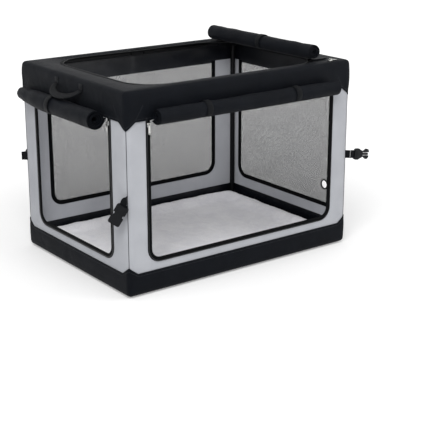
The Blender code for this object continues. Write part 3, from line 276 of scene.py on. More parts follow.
def knitted_net():
    made, tree, place = new_material("knitted_polyester_net")
    per_metre = (1 / NET_PITCH, 1 / NET_PITCH, 1)
    grown = add_node(tree, "VectorMath", {0: place["UV"], 1: per_metre}, operation="MULTIPLY")
    cells = []
    for shift in (0, 0.5):
        moved = add_node(tree, "VectorMath", {0: grown, 1: (shift, shift, 0)}, operation="ADD")
        share = add_node(tree, "VectorMath", {0: moved}, operation="FRACTION")
        cell = add_node(tree, "VectorMath", {0: share, 1: (0.5, 0.5, 0)}, operation="DISTANCE")
        cells.append(cell.outputs["Value"])
    near = add_node(tree, "Math", {0: cells[0], 1: cells[1]}, operation="MINIMUM")
    low, high = (NET_HOLE - NET_BLUR) / NET_PITCH, (NET_HOLE + NET_BLUR) / NET_PITCH
    clear = add_node(tree, "MapRange", {0: near, 1: low, 2: high})
    bump = add_node(tree, "Bump", {"Height": near, "Strength": 0.15, "Distance": 0.0003})
    look = {"Base_Color": linear("#1E1F23"), "Roughness": 0.7, "Sheen_Weight": 0.02}
    give_surface(tree, Alpha=clear, Normal=bump, **look)
    return made


NET = knitted_net()
print("holes cover", round(2 * math.pi * NET_HOLE**2 / NET_PITCH**2, 2), "of the window")

# %% [markdown]
# **Sheared plush** is knitted fleece: short soft pile that scatters light, with dents where it
# was touched. Fine noise is the pile and slow noise is the way that it lies.

# %% Plush
def sheared_plush():
    made, tree, place = new_material("sheared_fleece_plush")
    spot = place["Object"]
    pile = add_node(tree, "TexNoise", {"Vector": spot, "Scale": 220, "Detail": 5, "Roughness": 0.7})
    patch = add_node(tree, "TexNoise", {"Vector": spot, "Scale": 18, "Detail": 3, "Distortion": 1})
    both = add_node(tree, "Math", {0: pile, 1: patch}, operation="MULTIPLY")
    paint = add_node(tree, "MapRange", {0: both, 1: 0.1, 2: 0.42})
    dye_and_painted_shade = add_node(tree, "Mix", {0: paint, 6: linear("#E6E5EC"), 7: linear("#FDFCFF")}, data_type="RGBA")
    lie = add_node(tree, "Bump", {"Height": patch, "Strength": 0.5, "Distance": 0.006})
    tuft = add_node(tree, "Bump", {"Height": pile, "Strength": 0.7, "Distance": 0.0015, "Normal": lie})
    sheen = {"Sheen_Weight": 0.6, "Sheen_Roughness": 0.6, "Specular_IOR_Level": 0.2}
    give_surface(tree, Base_Color=dye_and_painted_shade.outputs[2], Normal=tuft, Roughness=0.95, **sheen)
    return made


PLUSH = sheared_plush()
print("mat cover:", PLUSH.name)

# %% [markdown]
# Everything sewn here is made from rows of points. `cloth_rows` joins rows into a sheet and
# stores each point's place along the cloth, in metres, as its UV, so that threads keep their
# real size. `cut_sheet` slices a sheet at the seams, because the two ends of the crate and
# its folding middle move apart.

# %% Sheets of cloth
def shares(count, first=0):
    """Even steps up to 1, from 0 or from a later one."""
    return [k / count for k in range(first, count + 1)]


def walked(path):
    """How far each point of a path is from its start, along the path."""
    return list(accumulate([math.dist(a, b) for a, b in zip(path, path[1:])], initial=0.0))


def grid(rows, along, across, closed=False, tube=False):
    """Faces between rows of points; along and across are the places that go in their UVs."""
    shape = bmesh.new()
    uv = shape.loops.layers.uv.new("UVMap")
    verts = [[shape.verts.new(p) for p in row] for row in rows]
    count, wide = len(rows), len(rows[0])
    for i in range(count if closed else count - 1):
        n = (i + 1) % count
        for j in range(wide if tube else wide - 1):
            m = (j + 1) % wide
            face = shape.faces.new((verts[i][j], verts[n][j], verts[n][m], verts[i][m]))
            spots = ((i, i, j), (i + 1, n, j), (i + 1, n, m), (i, i, m))
            for loop, (u, r, v) in zip(face.loops, spots):
                loop[uv].uv = (along[u], across[r][v])
    return shape


def cloth_rows(rows, closed=False):
    """A sheet from rows of points; a closed one joins its last row to its first."""
    middle = [row[len(row) // 2] for row in rows]
    return grid(rows, walked(middle + middle[:1]), [walked(row) for row in rows], closed)


def cut_sheet(shape, low, high):
    """A copy of a sheet without what lies outside two corners; None leaves a side alone."""
    kept = shape.copy()
    for corner, way in ((low, 1), (high, -1)):
        for axis in range(3):
            if corner[axis] is None:
                continue
            spot, normal = Vector(), Vector()
            spot[axis], normal[axis] = corner[axis], way
            geom = kept.verts[:] + kept.edges[:] + kept.faces[:]
            bmesh.ops.bisect_plane(kept, geom=geom, plane_co=spot, plane_no=normal, clear_inner=True)
    return kept


print("helpers for sheets: ready")

# %% [markdown]
# A sheet becomes a piece by taking a name and a material. `sewn` also gives it its thickness,
# with both of its faces, its cut edges and, on the padded bands, a lining of its own.

# %% Pieces of cloth
def as_object(name, shape, surface, smooth=True):
    mesh = bpy.data.meshes.new(name)
    shape.to_mesh(mesh)
    shape.free()
    mesh.materials.append(surface)
    if smooth:
        mesh.shade_smooth()
    made = bpy.data.objects.new(name, mesh)
    bpy.context.scene.collection.objects.link(made)
    return made


def settle_modifiers(made):
    """Turns what the modifiers show into the piece's own mesh."""
    bpy.context.view_layer.update()
    graph = bpy.context.evaluated_depsgraph_get()
    mesh = bpy.data.meshes.new_from_object(made.evaluated_get(graph))
    made.modifiers.clear()
    made.data = mesh


def sewn(name, shape, thickness, surface, offset=-1, lining=None):
    """A piece of cloth with both of its faces and its cut edges, and a lining if it has one."""
    made = as_object(name, shape, surface)
    solid = made.modifiers.new("thickness", "SOLIDIFY")
    if lining:
        made.data.materials.append(lining)
        solid.material_offset = 1
    solid.thickness, solid.offset, solid.use_even_offset = thickness, offset, True
    settle_modifiers(made)
    made.data.shade_smooth()
    made.data.set_sharp_from_angle(angle=math.radians(50))
    return made


def tell(*pieces):
    for made in pieces:
        print(made.name, [round(d, 3) for d in made.dimensions])


print("helpers for pieces: ready")

# %% [markdown]
# The cover is a rounded box, so every band, wall and tape is drawn on it by face: how far
# across from the face's middle, how high, and how deep inside the outer skin. Past the flat
# part a point runs round the corner, which lets a wall meet its neighbour in the corner seam.

# %% Places on the cover
FACES = {
    "front": (ALONG_X, -ALONG_Y, HALF_LENGTH, HALF_DEPTH),
    "right": (ALONG_Y, ALONG_X, HALF_DEPTH, HALF_LENGTH),
    "rear": (-ALONG_X, ALONG_Y, HALF_LENGTH, HALF_DEPTH),
    "left": (-ALONG_Y, -ALONG_X, HALF_DEPTH, HALF_LENGTH),
}


def on_face(face, across, height, depth=0.0):
    """A point of the cover, and its outward direction."""
    along, out, half, reach = FACES[face]
    flat = half - CORNER
    side = math.copysign(1, across)
    turn = max(abs(across) - flat, 0) / CORNER
    radius = CORNER - depth
    spot = along * side * (min(abs(across), flat) + radius * math.sin(turn))
    spot += out * (reach - CORNER + radius * math.cos(turn))
    way = along * side * math.sin(turn) + out * math.cos(turn)
    return spot + UP * height, way


def seam_reach(face):
    """How far across from its middle a face runs to its corner seam."""
    return FACES[face][2] - CORNER + CORNER * math.pi / 4


print("corner seam of the front:", round(seam_reach("front"), 4))

# %% [markdown]
# A band runs right round the crate, so it is drawn station by station. Each station is a place
# on a face or in a corner, and the same station fits a larger or a smaller rounded rectangle.
# Slow noise gives every cloth its own softness.

# %% Stations round the crate
def stations(straight, corner):
    """Places right round the crate: face, share of its straight run, and turn past its end."""
    found = []
    for face in ("front", "right", "rear", "left"):
        found += [(face, k / straight, 0.0) for k in range(-straight, straight + 1)]
        found += [(face, 1.0, math.pi / 2 * k / corner) for k in range(1, corner)]
    return found


def round_plan(station, half_length, half_depth, radius):
    """A point of a rounded rectangle, its outward direction, and its way to the corner seam."""
    face, share, turn = station
    along, out = FACES[face][:2]
    half, reach = (half_length, half_depth) if face in ("front", "rear") else (half_depth, half_length)
    way = along * math.sin(turn) + out * math.cos(turn)
    spot = along * share * (half - radius) + out * (reach - radius) + way * radius
    if turn:
        return spot, way, abs(turn - math.pi / 4) * radius
    return spot, way, (1 - abs(share)) * (half - radius) + radius * math.pi / 4


def crumple(spot, size, seed=0.0):
    """Slow, smooth unevenness between -1 and 1, for a cloth's own softness."""
    return noise.noise(Vector(spot) / size + Vector((seed, 2 * seed, 3 * seed)))


ROUND = stations(40, 6)
print("stations round the crate:", len(ROUND))

# %% [markdown]
# **The top band** is foam-padded cloth that folds over the frame: its inner edge runs round
# the roof opening, it bulges over the rail, and it hangs down to a hem with a stitched point
# at each corner. A row of its points goes from the roof opening, over the edge, to the hem.
# Its face is fullest in the middle and is drawn in where the hem is stitched.

# %% A row of the top band
ROOF_CORNER, ROOF_MARGIN = 0.105, 0.04
TOP_PUFF, TOP_SAG, EDGE_PUFF = 0.0016, 0.0045, 0.0006
SIDE_PUFF, END_PUFF, SOFT_PUFF = 0.0022, 0.0008, 0.0022
HEM_SHARE, HEM_HALF, HEM_PULL = 0.88, 0.045, 0.0007


def point_drop(way_to_seam):
    """How much further a hem reaches near a corner seam, where it comes to a point."""
    return POINT_DROP * max(1 - way_to_seam / POINT_HALF, 0)


def band_face_point(edge, way, low, high, share, plump):
    spot = edge + UP * (high + (low - high) * share)
    hem = math.exp(-(((share - HEM_SHARE) / HEM_HALF) ** 2))
    bulge = plump * math.sin(math.pi * min(share * 1.15, 1)) - HEM_PULL * hem
    soft = crumple((spot.x, spot.y, 2.2 * spot.z), 0.1, 3) + 0.5 * crumple(spot, 0.035, 5)
    return spot + way * (bulge + SOFT_PUFF * soft * math.sin(math.pi * min(share * 1.1, 1)))


def top_band_row(station):
    edge, way, to_seam = round_plan(station, HALF_LENGTH, HALF_DEPTH, CORNER)
    inner = round_plan(station, SEAM_X, HALF_DEPTH - ROOF_MARGIN, ROOF_CORNER)[0]
    start = edge - way * CORNER
    row = []
    for share in shares(10):
        spot = inner.lerp(start, share) + UP * HEIGHT
        lift = TOP_PUFF * math.sin(math.pi * share) - TOP_SAG * (1 - share) ** 2
        row.append(spot + UP * (lift + TOP_PUFF * crumple(spot, 0.07) * share * (1.2 - share)))
    for turn in [math.pi / 2 * s for s in shares(5, 1)]:
        spot = start + way * CORNER * math.sin(turn) + UP * (HEIGHT - CORNER + CORNER * math.cos(turn))
        row.append(spot + way * EDGE_PUFF * crumple(spot, 0.05))
    low, high = TOP_HEM - point_drop(to_seam), HEIGHT - CORNER
    plump = END_PUFF if station[0] in ("left", "right") else SIDE_PUFF
    return row + [band_face_point(edge, way, low, high, s, plump) for s in shares(11, 1)]


print("points in a row of the top band:", len(top_band_row(ROUND[0])))

# %% [markdown]
# The band is drawn as one ring and then cut at the seams, so that its folds run on from the
# ends into the middle. Its thickness grows inward, so the ring is turned if it faces inward.

# %% The ring of the top band
top_ring = cloth_rows([top_band_row(s) for s in ROUND], closed=True)
top_ring.normal_update()
if sum(f.normal.dot(f.calc_center_median()) for f in top_ring.faces) < 0:
    bmesh.ops.reverse_faces(top_ring, faces=top_ring.faces)
print("top band ring:", len(top_ring.verts), "points")

# %% [markdown]
# Each cut piece rides on the body that carries it. The two end pieces simply move with their
# ends. When the crate folds, the cloth between them has nowhere to go and crumples into the
# narrow space between the two trays; here the middle pieces ride on the left end.

# %% Carry the sewn pieces
MIDDLE = SEAM_X - SEAM_GAP
PARTS = {
    "left": ("left_end", (None, None, None), (-SEAM_X, None, None)),
    "right": ("right_end", (SEAM_X, None, None), (None, None, None)),
    "front": ("left_end", (-MIDDLE, None, None), (MIDDLE, 0, None)),
    "rear": ("left_end", (-MIDDLE, 0, None), (MIDDLE, None, None)),
    "middle": ("left_end", (-MIDDLE, None, None), (MIDDLE, None, None)),
}


def cut_part(shape, part):
    return cut_sheet(shape, *PARTS[part][1:])


def gathered(made):
    """Gives a piece a mesh of its own."""
    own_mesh(made)


def placed(made, body, node=None):
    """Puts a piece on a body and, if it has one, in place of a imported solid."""
    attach(made, body)
    if node:
        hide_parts(node)


def carried(made, part, node=None):
    """Puts a piece on the body of its part; a middle one gets a mesh of its own."""
    if part in ("front", "rear", "middle"):
        gathered(made)
    placed(made, PARTS[part][0], node)


print("parts of the cover:", ", ".join(PARTS))

# %% [markdown]
# The top band has foam in it. The coated lining that it shows inside is the back of the same
# cloth.

# %% The top band
def padded_band(name, shape):
    made = sewn(name, shape, BAND_CLOTH, BLACK_OXFORD, lining=COATED_LINING)
    return made


for part in ("left", "right", "front", "rear"):
    band = padded_band(part + "_top_band_cloth", cut_part(top_ring, part))
    carried(band, part, part + "_top_band")
    tell(band)
top_ring.free()

# %% [markdown]
# **The foot band and floor** are one tray of the same black cloth: a floor that turns up all
# round to a hem, again with a point up each corner seam. A row runs from the hem down, round
# the fold and in across the floor.

# %% A row of the tray
FOOT_PUFF, FOOT_SOFT, FLOOR_STEP = 0.0009, 0.0007, 0.05
FOOT_HEM_SHARE, FOOT_HEM_HALF, FOOT_HEM_PULL = 0.16, 0.06, 0.0006


def tray_row(station):
    edge, way, to_seam = round_plan(station, HALF_LENGTH, HALF_DEPTH, CORNER)
    start = edge - way * CORNER
    high = FOOT_HEM + point_drop(to_seam)
    row = []
    for share in shares(7):
        spot = edge + UP * (high + (CORNER - high) * share)
        full = math.sin(math.pi * share)
        hem = math.exp(-(((share - FOOT_HEM_SHARE) / FOOT_HEM_HALF) ** 2))
        bulge = FOOT_PUFF * full - FOOT_HEM_PULL * hem
        row.append(spot + way * (bulge + FOOT_SOFT * crumple(spot, 0.08, 5) * full))
    for turn in [math.pi / 2 * s for s in shares(4, 1)]:
        row.append(start + way * CORNER * math.cos(turn) + UP * (CORNER - CORNER * math.sin(turn)))
    for inset in [FLOOR_STEP * k for k in range(1, 4)]:
        inner = round_plan(station, HALF_LENGTH - inset, HALF_DEPTH - inset, CORNER)[0]
        row.append(Vector((inner.x, inner.y, 0)))
    return row


print("points in a row of the tray:", len(tray_row(ROUND[0])))

# %% [markdown]
# One face closes the middle of the floor, where the mat hides it. The tray is then cut at the
# same seams: its two ends stay in the end trays and the part between them rides on the left end.

# %% The foot band and floor
tray = cloth_rows([tray_row(s) for s in ROUND], closed=True)
rim = [e for e in tray.edges if e.is_boundary and all(v.co.z < 0.001 for v in e.verts)]
bmesh.ops.contextual_create(tray, geom=rim)
bmesh.ops.recalc_face_normals(tray, faces=tray.faces)
for part, node in (("left", "left_bottom_band"), ("right", "right_bottom_band"), ("middle", "floor_tray")):
    band = padded_band(part + "_foot_band_cloth", cut_part(tray, part))
    carried(band, part, node)
    tell(band)
tray.free()

# %% [markdown]
# **The grey walls** are single cloth, stretched between the two bands. Each has an opening,
# a doorway or a window, which shows as a U because its top runs up under the band. A wall is
# a ribbon of rows from the opening's edge to the wall's own edge. Matching points are placed
# so that a rounded corner of the opening looks towards the square corner of the wall.

# %% Openings
OPENING_CORNER, WALL_CORNER = 0.03, 0.06
WALL_LOW, WALL_HIGH = FOOT_HEM - 0.006, TOP_HEM + 0.007
STEPS, BEND = 14, 8


def run(start, end, steps):
    """Evenly spread points from start up to, not with, end."""
    return [tuple(a + (b - a) * k / steps for a, b in zip(start, end)) for k in range(steps)]


def opening_path(half, low):
    """Round an opening in (across, height), from its top left down, over and up again."""
    high, round_off = WALL_HIGH, OPENING_CORNER
    side, base = half - round_off, low + round_off
    turns = [math.pi / 2 * s for s in shares(BEND)[:-1]]
    path = run((-half, high), (-half, base), STEPS)
    path += [(-side - round_off * math.cos(t), base - round_off * math.sin(t)) for t in turns]
    path += run((-side, low), (side, low), 2 * STEPS)
    path += [(side + round_off * math.sin(t), base - round_off * math.cos(t)) for t in turns]
    return path + run((half, base), (half, high), STEPS) + [(half, high)]


def wall_path(half):
    """The same number of points round the wall's own edge, which has square corners."""
    low, high, near = WALL_LOW, WALL_HIGH, BEND // 2
    side, base = half - WALL_CORNER, low + WALL_CORNER
    path = run((-half, high), (-half, base), STEPS)
    path += run((-half, base), (-half, low), near) + run((-half, low), (-side, low), near)
    path += run((-side, low), (side, low), 2 * STEPS)
    path += run((side, low), (half, low), near) + run((half, low), (half, base), near)
    return path + run((half, base), (half, high), STEPS) + [(half, high)]


OPENINGS = {
    "left": opening_path(0.203, 0.099),
    "front": opening_path(SEAM_X, 0.099),
    "rear": opening_path(0.312, 0.118),
    "right": opening_path(0.243, 0.104),
}
print("points round the left doorway:", len(OPENINGS["left"]))

# %% [markdown]
# A wall is a stretched sheet, drawn as rows from the edge of its opening out to its own edge.

# %% The cloth of a wall
WALL_LAYERS, WALL_PUFF, MOSTLY_OPEN = 7, 0.0011, 0.31


def wall(face, opening):
    """A wall with its opening, as rows from the opening's edge outward."""
    rows = []
    for (a, h), (oa, oh) in zip(opening, wall_path(seam_reach(face))):
        row = []
        for share in shares(WALL_LAYERS):
            spot, way = on_face(face, a + (oa - a) * share, h + (oh - h) * share, WALL_DEPTH)
            row.append(spot + way * WALL_PUFF * crumple(spot, 0.06, 7) * math.sin(math.pi * share))
        rows.append(row)
    return cloth_rows(rows)


print("helpers for walls: ready")

# %% [markdown]
# The front and rear walls cross the crate's seams, so they are cut like the bands. What lies
# on the left end joins the left wall's body, the middle rides on it too, and the rest goes right.

# %% The grey walls
WALL_NODES = {"left": "left_wall", "right": "right_wall", "front": "front_sill", "rear": "rear_wall"}
for face, opening in OPENINGS.items():
    whole = wall(face, opening)
    bmesh.ops.recalc_face_normals(whole, faces=whole.faces)
    for part in ("left", face, "right") if face in ("front", "rear") else (face,):
        shape = cut_part(whole, part) if face in ("front", "rear") else whole.copy()
        if sum(f.normal.dot(FACES[face][1]) * f.calc_area() for f in shape.faces) < 0:
            bmesh.ops.reverse_faces(shape, faces=shape.faces)
        name = f"{face}_wall_cloth" if part == face else f"{face}_wall_{part}_strip_cloth"
        made = sewn(name, shape, WALL_CLOTH, GREY_OXFORD)
        carried(made, part, WALL_NODES[face] if part == face else None)
        tell(made)
    whole.free()

# %% [markdown]
# Tapes, bindings, webbing and straps are all long flat bands that follow a path. `ribbon`
# sweeps one: at each point it takes the direction of the band's width, and rounds its edges.

# %% Ribbons
RIBBON = [(-0.5, 0), (-0.46, 0.5), (-0.2, 0.5), (0, 0.5), (0.2, 0.5), (0.46, 0.5)]
RIBBON += [(0.5, 0), (0.46, -0.5), (0, -0.5), (-0.46, -0.5)]


def ends_near(path, k, closed):
    """The points before and after one of a path's points; an open path's ends stand alone."""
    last = len(path) - 1
    before = path[k - 1] if closed or k else path[0]
    return before, path[(k + 1) % len(path)] if closed or k < last else path[last]


def ribbon(name, path, sides, width, thickness, surface, closed=False):
    """A flat band along a path, whose width runs along sides."""
    rings = []
    for k, (spot, side) in enumerate(zip(path, sides)):
        before, after = ends_near(path, k, closed)
        across = side.normalized()
        up = across.cross(after - before).normalized()
        rings.append([spot + across * width * a + up * (thickness * b) for a, b in RIBBON])
    places = [[width * a for a, b in RIBBON]] * len(path)
    shape = grid(rings, walked(path + path[:1]), places, closed, tube=True)
    if not closed:
        shape.verts.ensure_lookup_table()
        corners = len(RIBBON)
        shape.faces.new(shape.verts[:corners][::-1])
        shape.faces.new(shape.verts[-corners:])
    bmesh.ops.recalc_face_normals(shape, faces=shape.faces)
    return as_object(name, shape, surface)


print("corners of a ribbon:", len(RIBBON))

# %% [markdown]
# `cord_tube` does the same for round things, such as a seam's cord and a strap's hem, and
# `joined` makes one piece of several that are sewn or moulded together.

# %% Cords and joined pieces
def cord_tube(name, path, radius, surface, sides=12):
    """A round tube along a path."""
    rings, normal = [], None
    for k, spot in enumerate(path):
        before, after = ends_near(path, k, False)
        way = (after - before).normalized()
        if normal is None:
            normal = way.orthogonal()
        normal = (normal - way * normal.dot(way)).normalized()
        other = way.cross(normal)
        turns = [math.tau * s for s in shares(sides)]
        rings.append([spot + (normal * math.cos(t) + other * math.sin(t)) * radius for t in turns])
    shape = cloth_rows(rings)
    bmesh.ops.remove_doubles(shape, verts=shape.verts, dist=1e-6)
    bmesh.ops.holes_fill(shape, edges=[e for e in shape.edges if e.is_boundary])
    bmesh.ops.recalc_face_normals(shape, faces=shape.faces)
    return as_object(name, shape, surface)


def joined(name, pieces):
    """One piece made of several, which are used up."""
    first, *rest = pieces
    shape = bmesh.new()
    for made in pieces:
        shape.from_mesh(made.data)
    shape.to_mesh(first.data)
    shape.free()
    for made in rest:
        bpy.data.objects.remove(made, do_unlink=True)
    first.name = first.data.name = name
    return first


print("helpers for cords: ready")

# %% [markdown]
# Sewing shows as a dotted line. `stitches` lays short raised beads of thread along a path.
# A coil zip's edge is a row of close nylon teeth, which the same function makes when the
# beads are short and near each other.

# %% Stitches and zip teeth
# The pitch, length and width of a stitch or a tooth.
SEAM_BEAD, EDGE_BEAD = (0.0046, 0.003, 0.0009), (0.0042, 0.0028, 0.0008)
BOX_BEAD = (0.003, 0.002, 0.0008)
DOOR_TOOTH, ROOF_TOOTH = (0.0028, 0.0018, 0.0042), (0.0028, 0.0018, 0.0036)
BEAD_FACES = ((0, 1, 4), (1, 2, 5, 4), (2, 3, 5), (3, 0, 4, 5))


def bead_points(middle, way, side, up, length, width):
    """A bead's four corners on the cloth, and the two ends of its raised ridge."""
    half = side * width / 2
    ends = [middle + way * length * s for s in (-0.5, 0.5)]
    ridge = [middle + way * length * 0.28 * s + up * width * 0.6 for s in (-1, 1)]
    return [ends[0] - half, ends[0] + half, ends[1] + half, ends[1] - half, *ridge]


def stitches(name, path, ups, bead, surface, closed=False):
    """A row of beads along a path; ups are the directions that they stand out in."""
    pitch, length, width = bead
    shape = bmesh.new()
    passed, due = 0.0, 0.0
    for a, b, up in zip(path, path[1:] + (path[:1] if closed else []), ups):
        span = (b - a).length
        if span < 1e-7:
            continue
        way = (b - a) / span
        side = way.cross(up).normalized()
        while due <= passed + span:
            middle = a + way * (due - passed)
            due += pitch
            corners = [shape.verts.new(p) for p in bead_points(middle, way, side, up, length, width)]
            for loop in BEAD_FACES:
                shape.faces.new([corners[k] for k in loop])
        passed += span
    return as_object(name, shape, surface)


print("pitch of a seam's stitches:", SEAM_BEAD[0])

# %% [markdown]
# Paths on a face are given as (across, height). A tape's width runs away from the opening, so
# its direction there is the path's own right-hand side.

# %% Paths on a face
def face_path(face, points, depth):
    """Points given across and high on a face, as places and their outward directions."""
    found = [on_face(face, a, h, depth) for a, h in points]
    return [f[0] for f in found], [f[1] for f in found]


def flat_sides(points):
    """For a path in (across, height), the direction to its right at each point."""
    ends = zip(points[:1] + points[:-1], points[1:] + points[-1:])
    return [Vector((b[1] - a[1], a[0] - b[0])).normalized() for a, b in ends]


def moved_out(points, distance):
    """The same path, moved away from the opening that it runs round."""
    return [(a + s.x * distance, h + s.y * distance) for (a, h), s in zip(points, flat_sides(points))]


probe = moved_out(OPENINGS["left"], 0.01)
print("tape's outer edge at the sill:", round(min(h for a, h in probe), 4))

# %% [markdown]
# **Doorways** are edged with zip tape: a woven band folded over the cloth's raw edge, so it
# shows inside and out, with half a nylon coil standing on it. **Windows** have the same
# folded edge without teeth, held by two rows of stitching.

# %% A folded edge and what is sewn on it
EDGE_INSET, EDGE_WIDTH = 0.0045, 0.014
TAPE_DEPTH, TAPE_THICKNESS = 0.0031, 0.0036
COIL_INSET, STITCH_INSETS = 0.0085, (0.001, 0.0095)
DOORWAYS = ("left", "front")


def parted(made, parts):
    """Cuts a closed piece at the crate's seams, closes the cuts, and skips an empty part."""
    whole = bmesh.new()
    whole.from_mesh(made.data)
    name, surface = made.name, made.data.materials[0]
    bpy.data.objects.remove(made, do_unlink=True)
    found = []
    for part in parts:
        shape = cut_part(whole, part)
        bmesh.ops.holes_fill(shape, edges=[e for e in shape.edges if e.is_boundary])
        if len(shape.faces) > 0:
            found.append((part, as_object(f"{name}_{part}", shape, surface)))
    whole.free()
    return found


def folded_edge(face, opening):
    points = moved_out(opening, EDGE_INSET)
    sides = [FACES[face][0] * s.x + UP * s.y for s in flat_sides(points)]
    path = face_path(face, points, TAPE_DEPTH)[0]
    return ribbon(face + "_opening_edge", path, sides, EDGE_WIDTH, TAPE_THICKNESS, ZIP_TAPE)


def edge_sewing(face, opening):
    """Zip teeth on a doorway's edge, or a window's two rows of stitches."""
    skin = TAPE_DEPTH - TAPE_THICKNESS / 2
    if face in DOORWAYS:
        path, ups = face_path(face, moved_out(opening, COIL_INSET), skin)
        return stitches(face + "_zip_teeth", path, ups, DOOR_TOOTH, COIL)
    rows = [face_path(face, moved_out(opening, inset), skin) for inset in STITCH_INSETS]
    rows = [stitches("row", path, ups, EDGE_BEAD, THREAD) for path, ups in rows]
    return joined(face + "_edge_stitches", rows)


print("doorways with a zip:", DOORWAYS)

# %% [markdown]
# The front doorway's edge crosses the seams of the crate, so it is cut there like the bands.

# %% Edges of the openings
TAPE_NODES = {
    ("left", "left"): "left_door_tape",
    ("front", "left"): "left_jamb_tape",
    ("front", "front"): "front_sill_tape",
    ("front", "right"): "right_jamb_tape",
}
for face, opening in OPENINGS.items():
    tape, sewing = folded_edge(face, opening), edge_sewing(face, opening)
    for made, nodes in ((tape, TAPE_NODES), (sewing, {})):
        pieces = parted(made, ("left", "front", "right")) if face == "front" else [(face, made)]
        for part, piece in pieces:
            carried(piece, part, nodes.get((face, part)))
            tell(piece)

# %% [markdown]
# **The windows** are single sheets of net. A net leaves the wall's edge at the cloth's own
# depth, rises a little to lie flat, and is pulled unevenly between its edges.

# %% A sheet of net
NET_COLUMNS, NET_ROWS = 52, 40
NET_DEPTH, NET_RISE, NET_SLACK = WALL_DEPTH + WALL_CLOTH / 2, 0.00215, 0.0016
NET_EDGE, NET_SOFT = 0.02, 0.06


def net_sheet(face, half, low, high, port):
    columns = []
    for across in [half * (2 * s - 1) for s in shares(NET_COLUMNS)]:
        column = []
        for height in [low + (high - low) * s for s in shares(NET_ROWS)]:
            inside = min(half - abs(across), height - low)
            slack = min(inside / NET_SOFT, 1)
            if port:
                slack *= min(max(math.dist((across, height), port) - NET_EDGE, 0) / NET_SOFT, 1)
            spot, way = on_face(face, across, height, NET_DEPTH - NET_RISE * min(inside / NET_EDGE, 1))
            column.append(spot + way * NET_SLACK * slack * crumple(spot, 0.09, 11))
        columns.append(column)
    return cloth_rows(columns)


print("cells in a net:", NET_COLUMNS * NET_ROWS)

# %% [markdown]
# The right window has a round port near the floor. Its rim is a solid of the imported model, so
# the net is cut back to a circle just inside that rim.

# %% The window nets
PORT, PORT_CUT, PORT_STEPS, PORT_MARGIN, PORT_REACH = (-0.189, 0.164), 0.0135, 32, 0.006, 0.05


def cut_port(shape, face, port):
    hub = on_face(face, *port, NET_DEPTH - NET_RISE)[0]
    near = [v for v in shape.verts if (v.co - hub).length < PORT_CUT + PORT_MARGIN]
    bmesh.ops.delete(shape, geom=near, context="VERTS")
    loop = [e for e in shape.edges if e.is_boundary and (e.verts[0].co - hub).length < PORT_REACH]
    turns = [math.tau * s for s in shares(PORT_STEPS)[:-1]]
    spokes = [FACES[face][0] * math.cos(t) + UP * math.sin(t) for t in turns]
    ring = [shape.verts.new(hub + spoke * PORT_CUT) for spoke in spokes]
    loop += [shape.edges.new((ring[k - 1], ring[k])) for k in range(PORT_STEPS)]
    bmesh.ops.triangle_fill(shape, edges=loop, use_beauty=True)


def window_net(face, half, low, port=None):
    high = WALL_HIGH - 0.001
    shape = net_sheet(face, half, low, high, port)
    if port:
        cut_port(shape, face, port)
    uv = shape.loops.layers.uv["UVMap"]
    for corner in [c for f in shape.faces for c in f.loops]:
        corner[uv].uv = (corner.vert.co.dot(FACES[face][0]), corner.vert.co.z)
    bmesh.ops.recalc_face_normals(shape, faces=shape.faces)
    made = as_object(face + "_window_net", shape, NET)
    carried(made, face, face + "_window")
    tell(made)


window_net("rear", 0.316, 0.114)
window_net("right", 0.247, 0.1, PORT)

# %% [markdown]
# **The rolled flaps** are the doors and the roof, rolled up and tied. Each is one sheet wound
# in a spiral, so the end shows its turns. Cloth that is rolled by hand is never a perfect
# cylinder: the turns slide a little past each other at the ends, the roll is pinched where
# its loops hold it, and it sags between them.

# %% Where the rolls are
Roll = namedtuple("Roll", "axis middle radius entry sewn_from low high loops sink press part node")
ROLLS = {
    "front_door_flap": Roll(
        axis=ALONG_X, middle=(-0.3161, 0.51), radius=0.024, entry=math.radians(-78),
        sewn_from=((-0.2915, 0.4925), (-0.2995, 0.4905)), low=-0.321, high=0.321,
        loops=(-0.16, 0.16), sink=0.0018, press=0, part="middle", node="front_door_roll",
    ),
    "left_door_flap": Roll(
        axis=ALONG_Y, middle=(-0.4361, 0.494), radius=0.029, entry=math.radians(-28),
        sewn_from=((-0.4036, 0.4932), (-0.4075, 0.488)), low=-0.192, high=0.25,
        loops=(0.035,), sink=0.0018, press=0.42, part="left", node="left_door_roll",
    ),
    "roof_flap": Roll(
        axis=ALONG_Y, middle=(0.295, 0.6068), radius=0.024, entry=math.radians(-90),
        sewn_from=((0.345, 0.583), (0.318, 0.5834)), low=-0.245, high=0.258,
        loops=(0.0,), sink=0, press=0, part="right", node="roof_flap_roll",
    ),
}


def level_of(roll):
    """The level direction across a roll."""
    return ALONG_Y if roll.axis.x else ALONG_X


print("rolls:", ", ".join(ROLLS))

# %% [markdown]
# The sheet of a roll is drawn row by row along its axis. A row starts where the flap is sewn
# to the band and then turns inward. `sink` is how far the roll sags between its loops, and
# `press` is how much its far end is pressed against the band.

# %% A row of a roll
ROLL_PITCH, ROLL_TURNS, ROLL_STEPS, FREE_STEPS = 0.0047, 4.3, 26, 3
ROLL_START, ROLL_HEART = 0.0015, 0.0022
PINCH, PINCH_HALF, FLARE, FLARE_SHARE = 0.05, 0.02, 0.03, 0.05
ROLL_DENT, ROLL_SLIDE, ROLL_OVAL = 0.0021, 0.008, 0.05


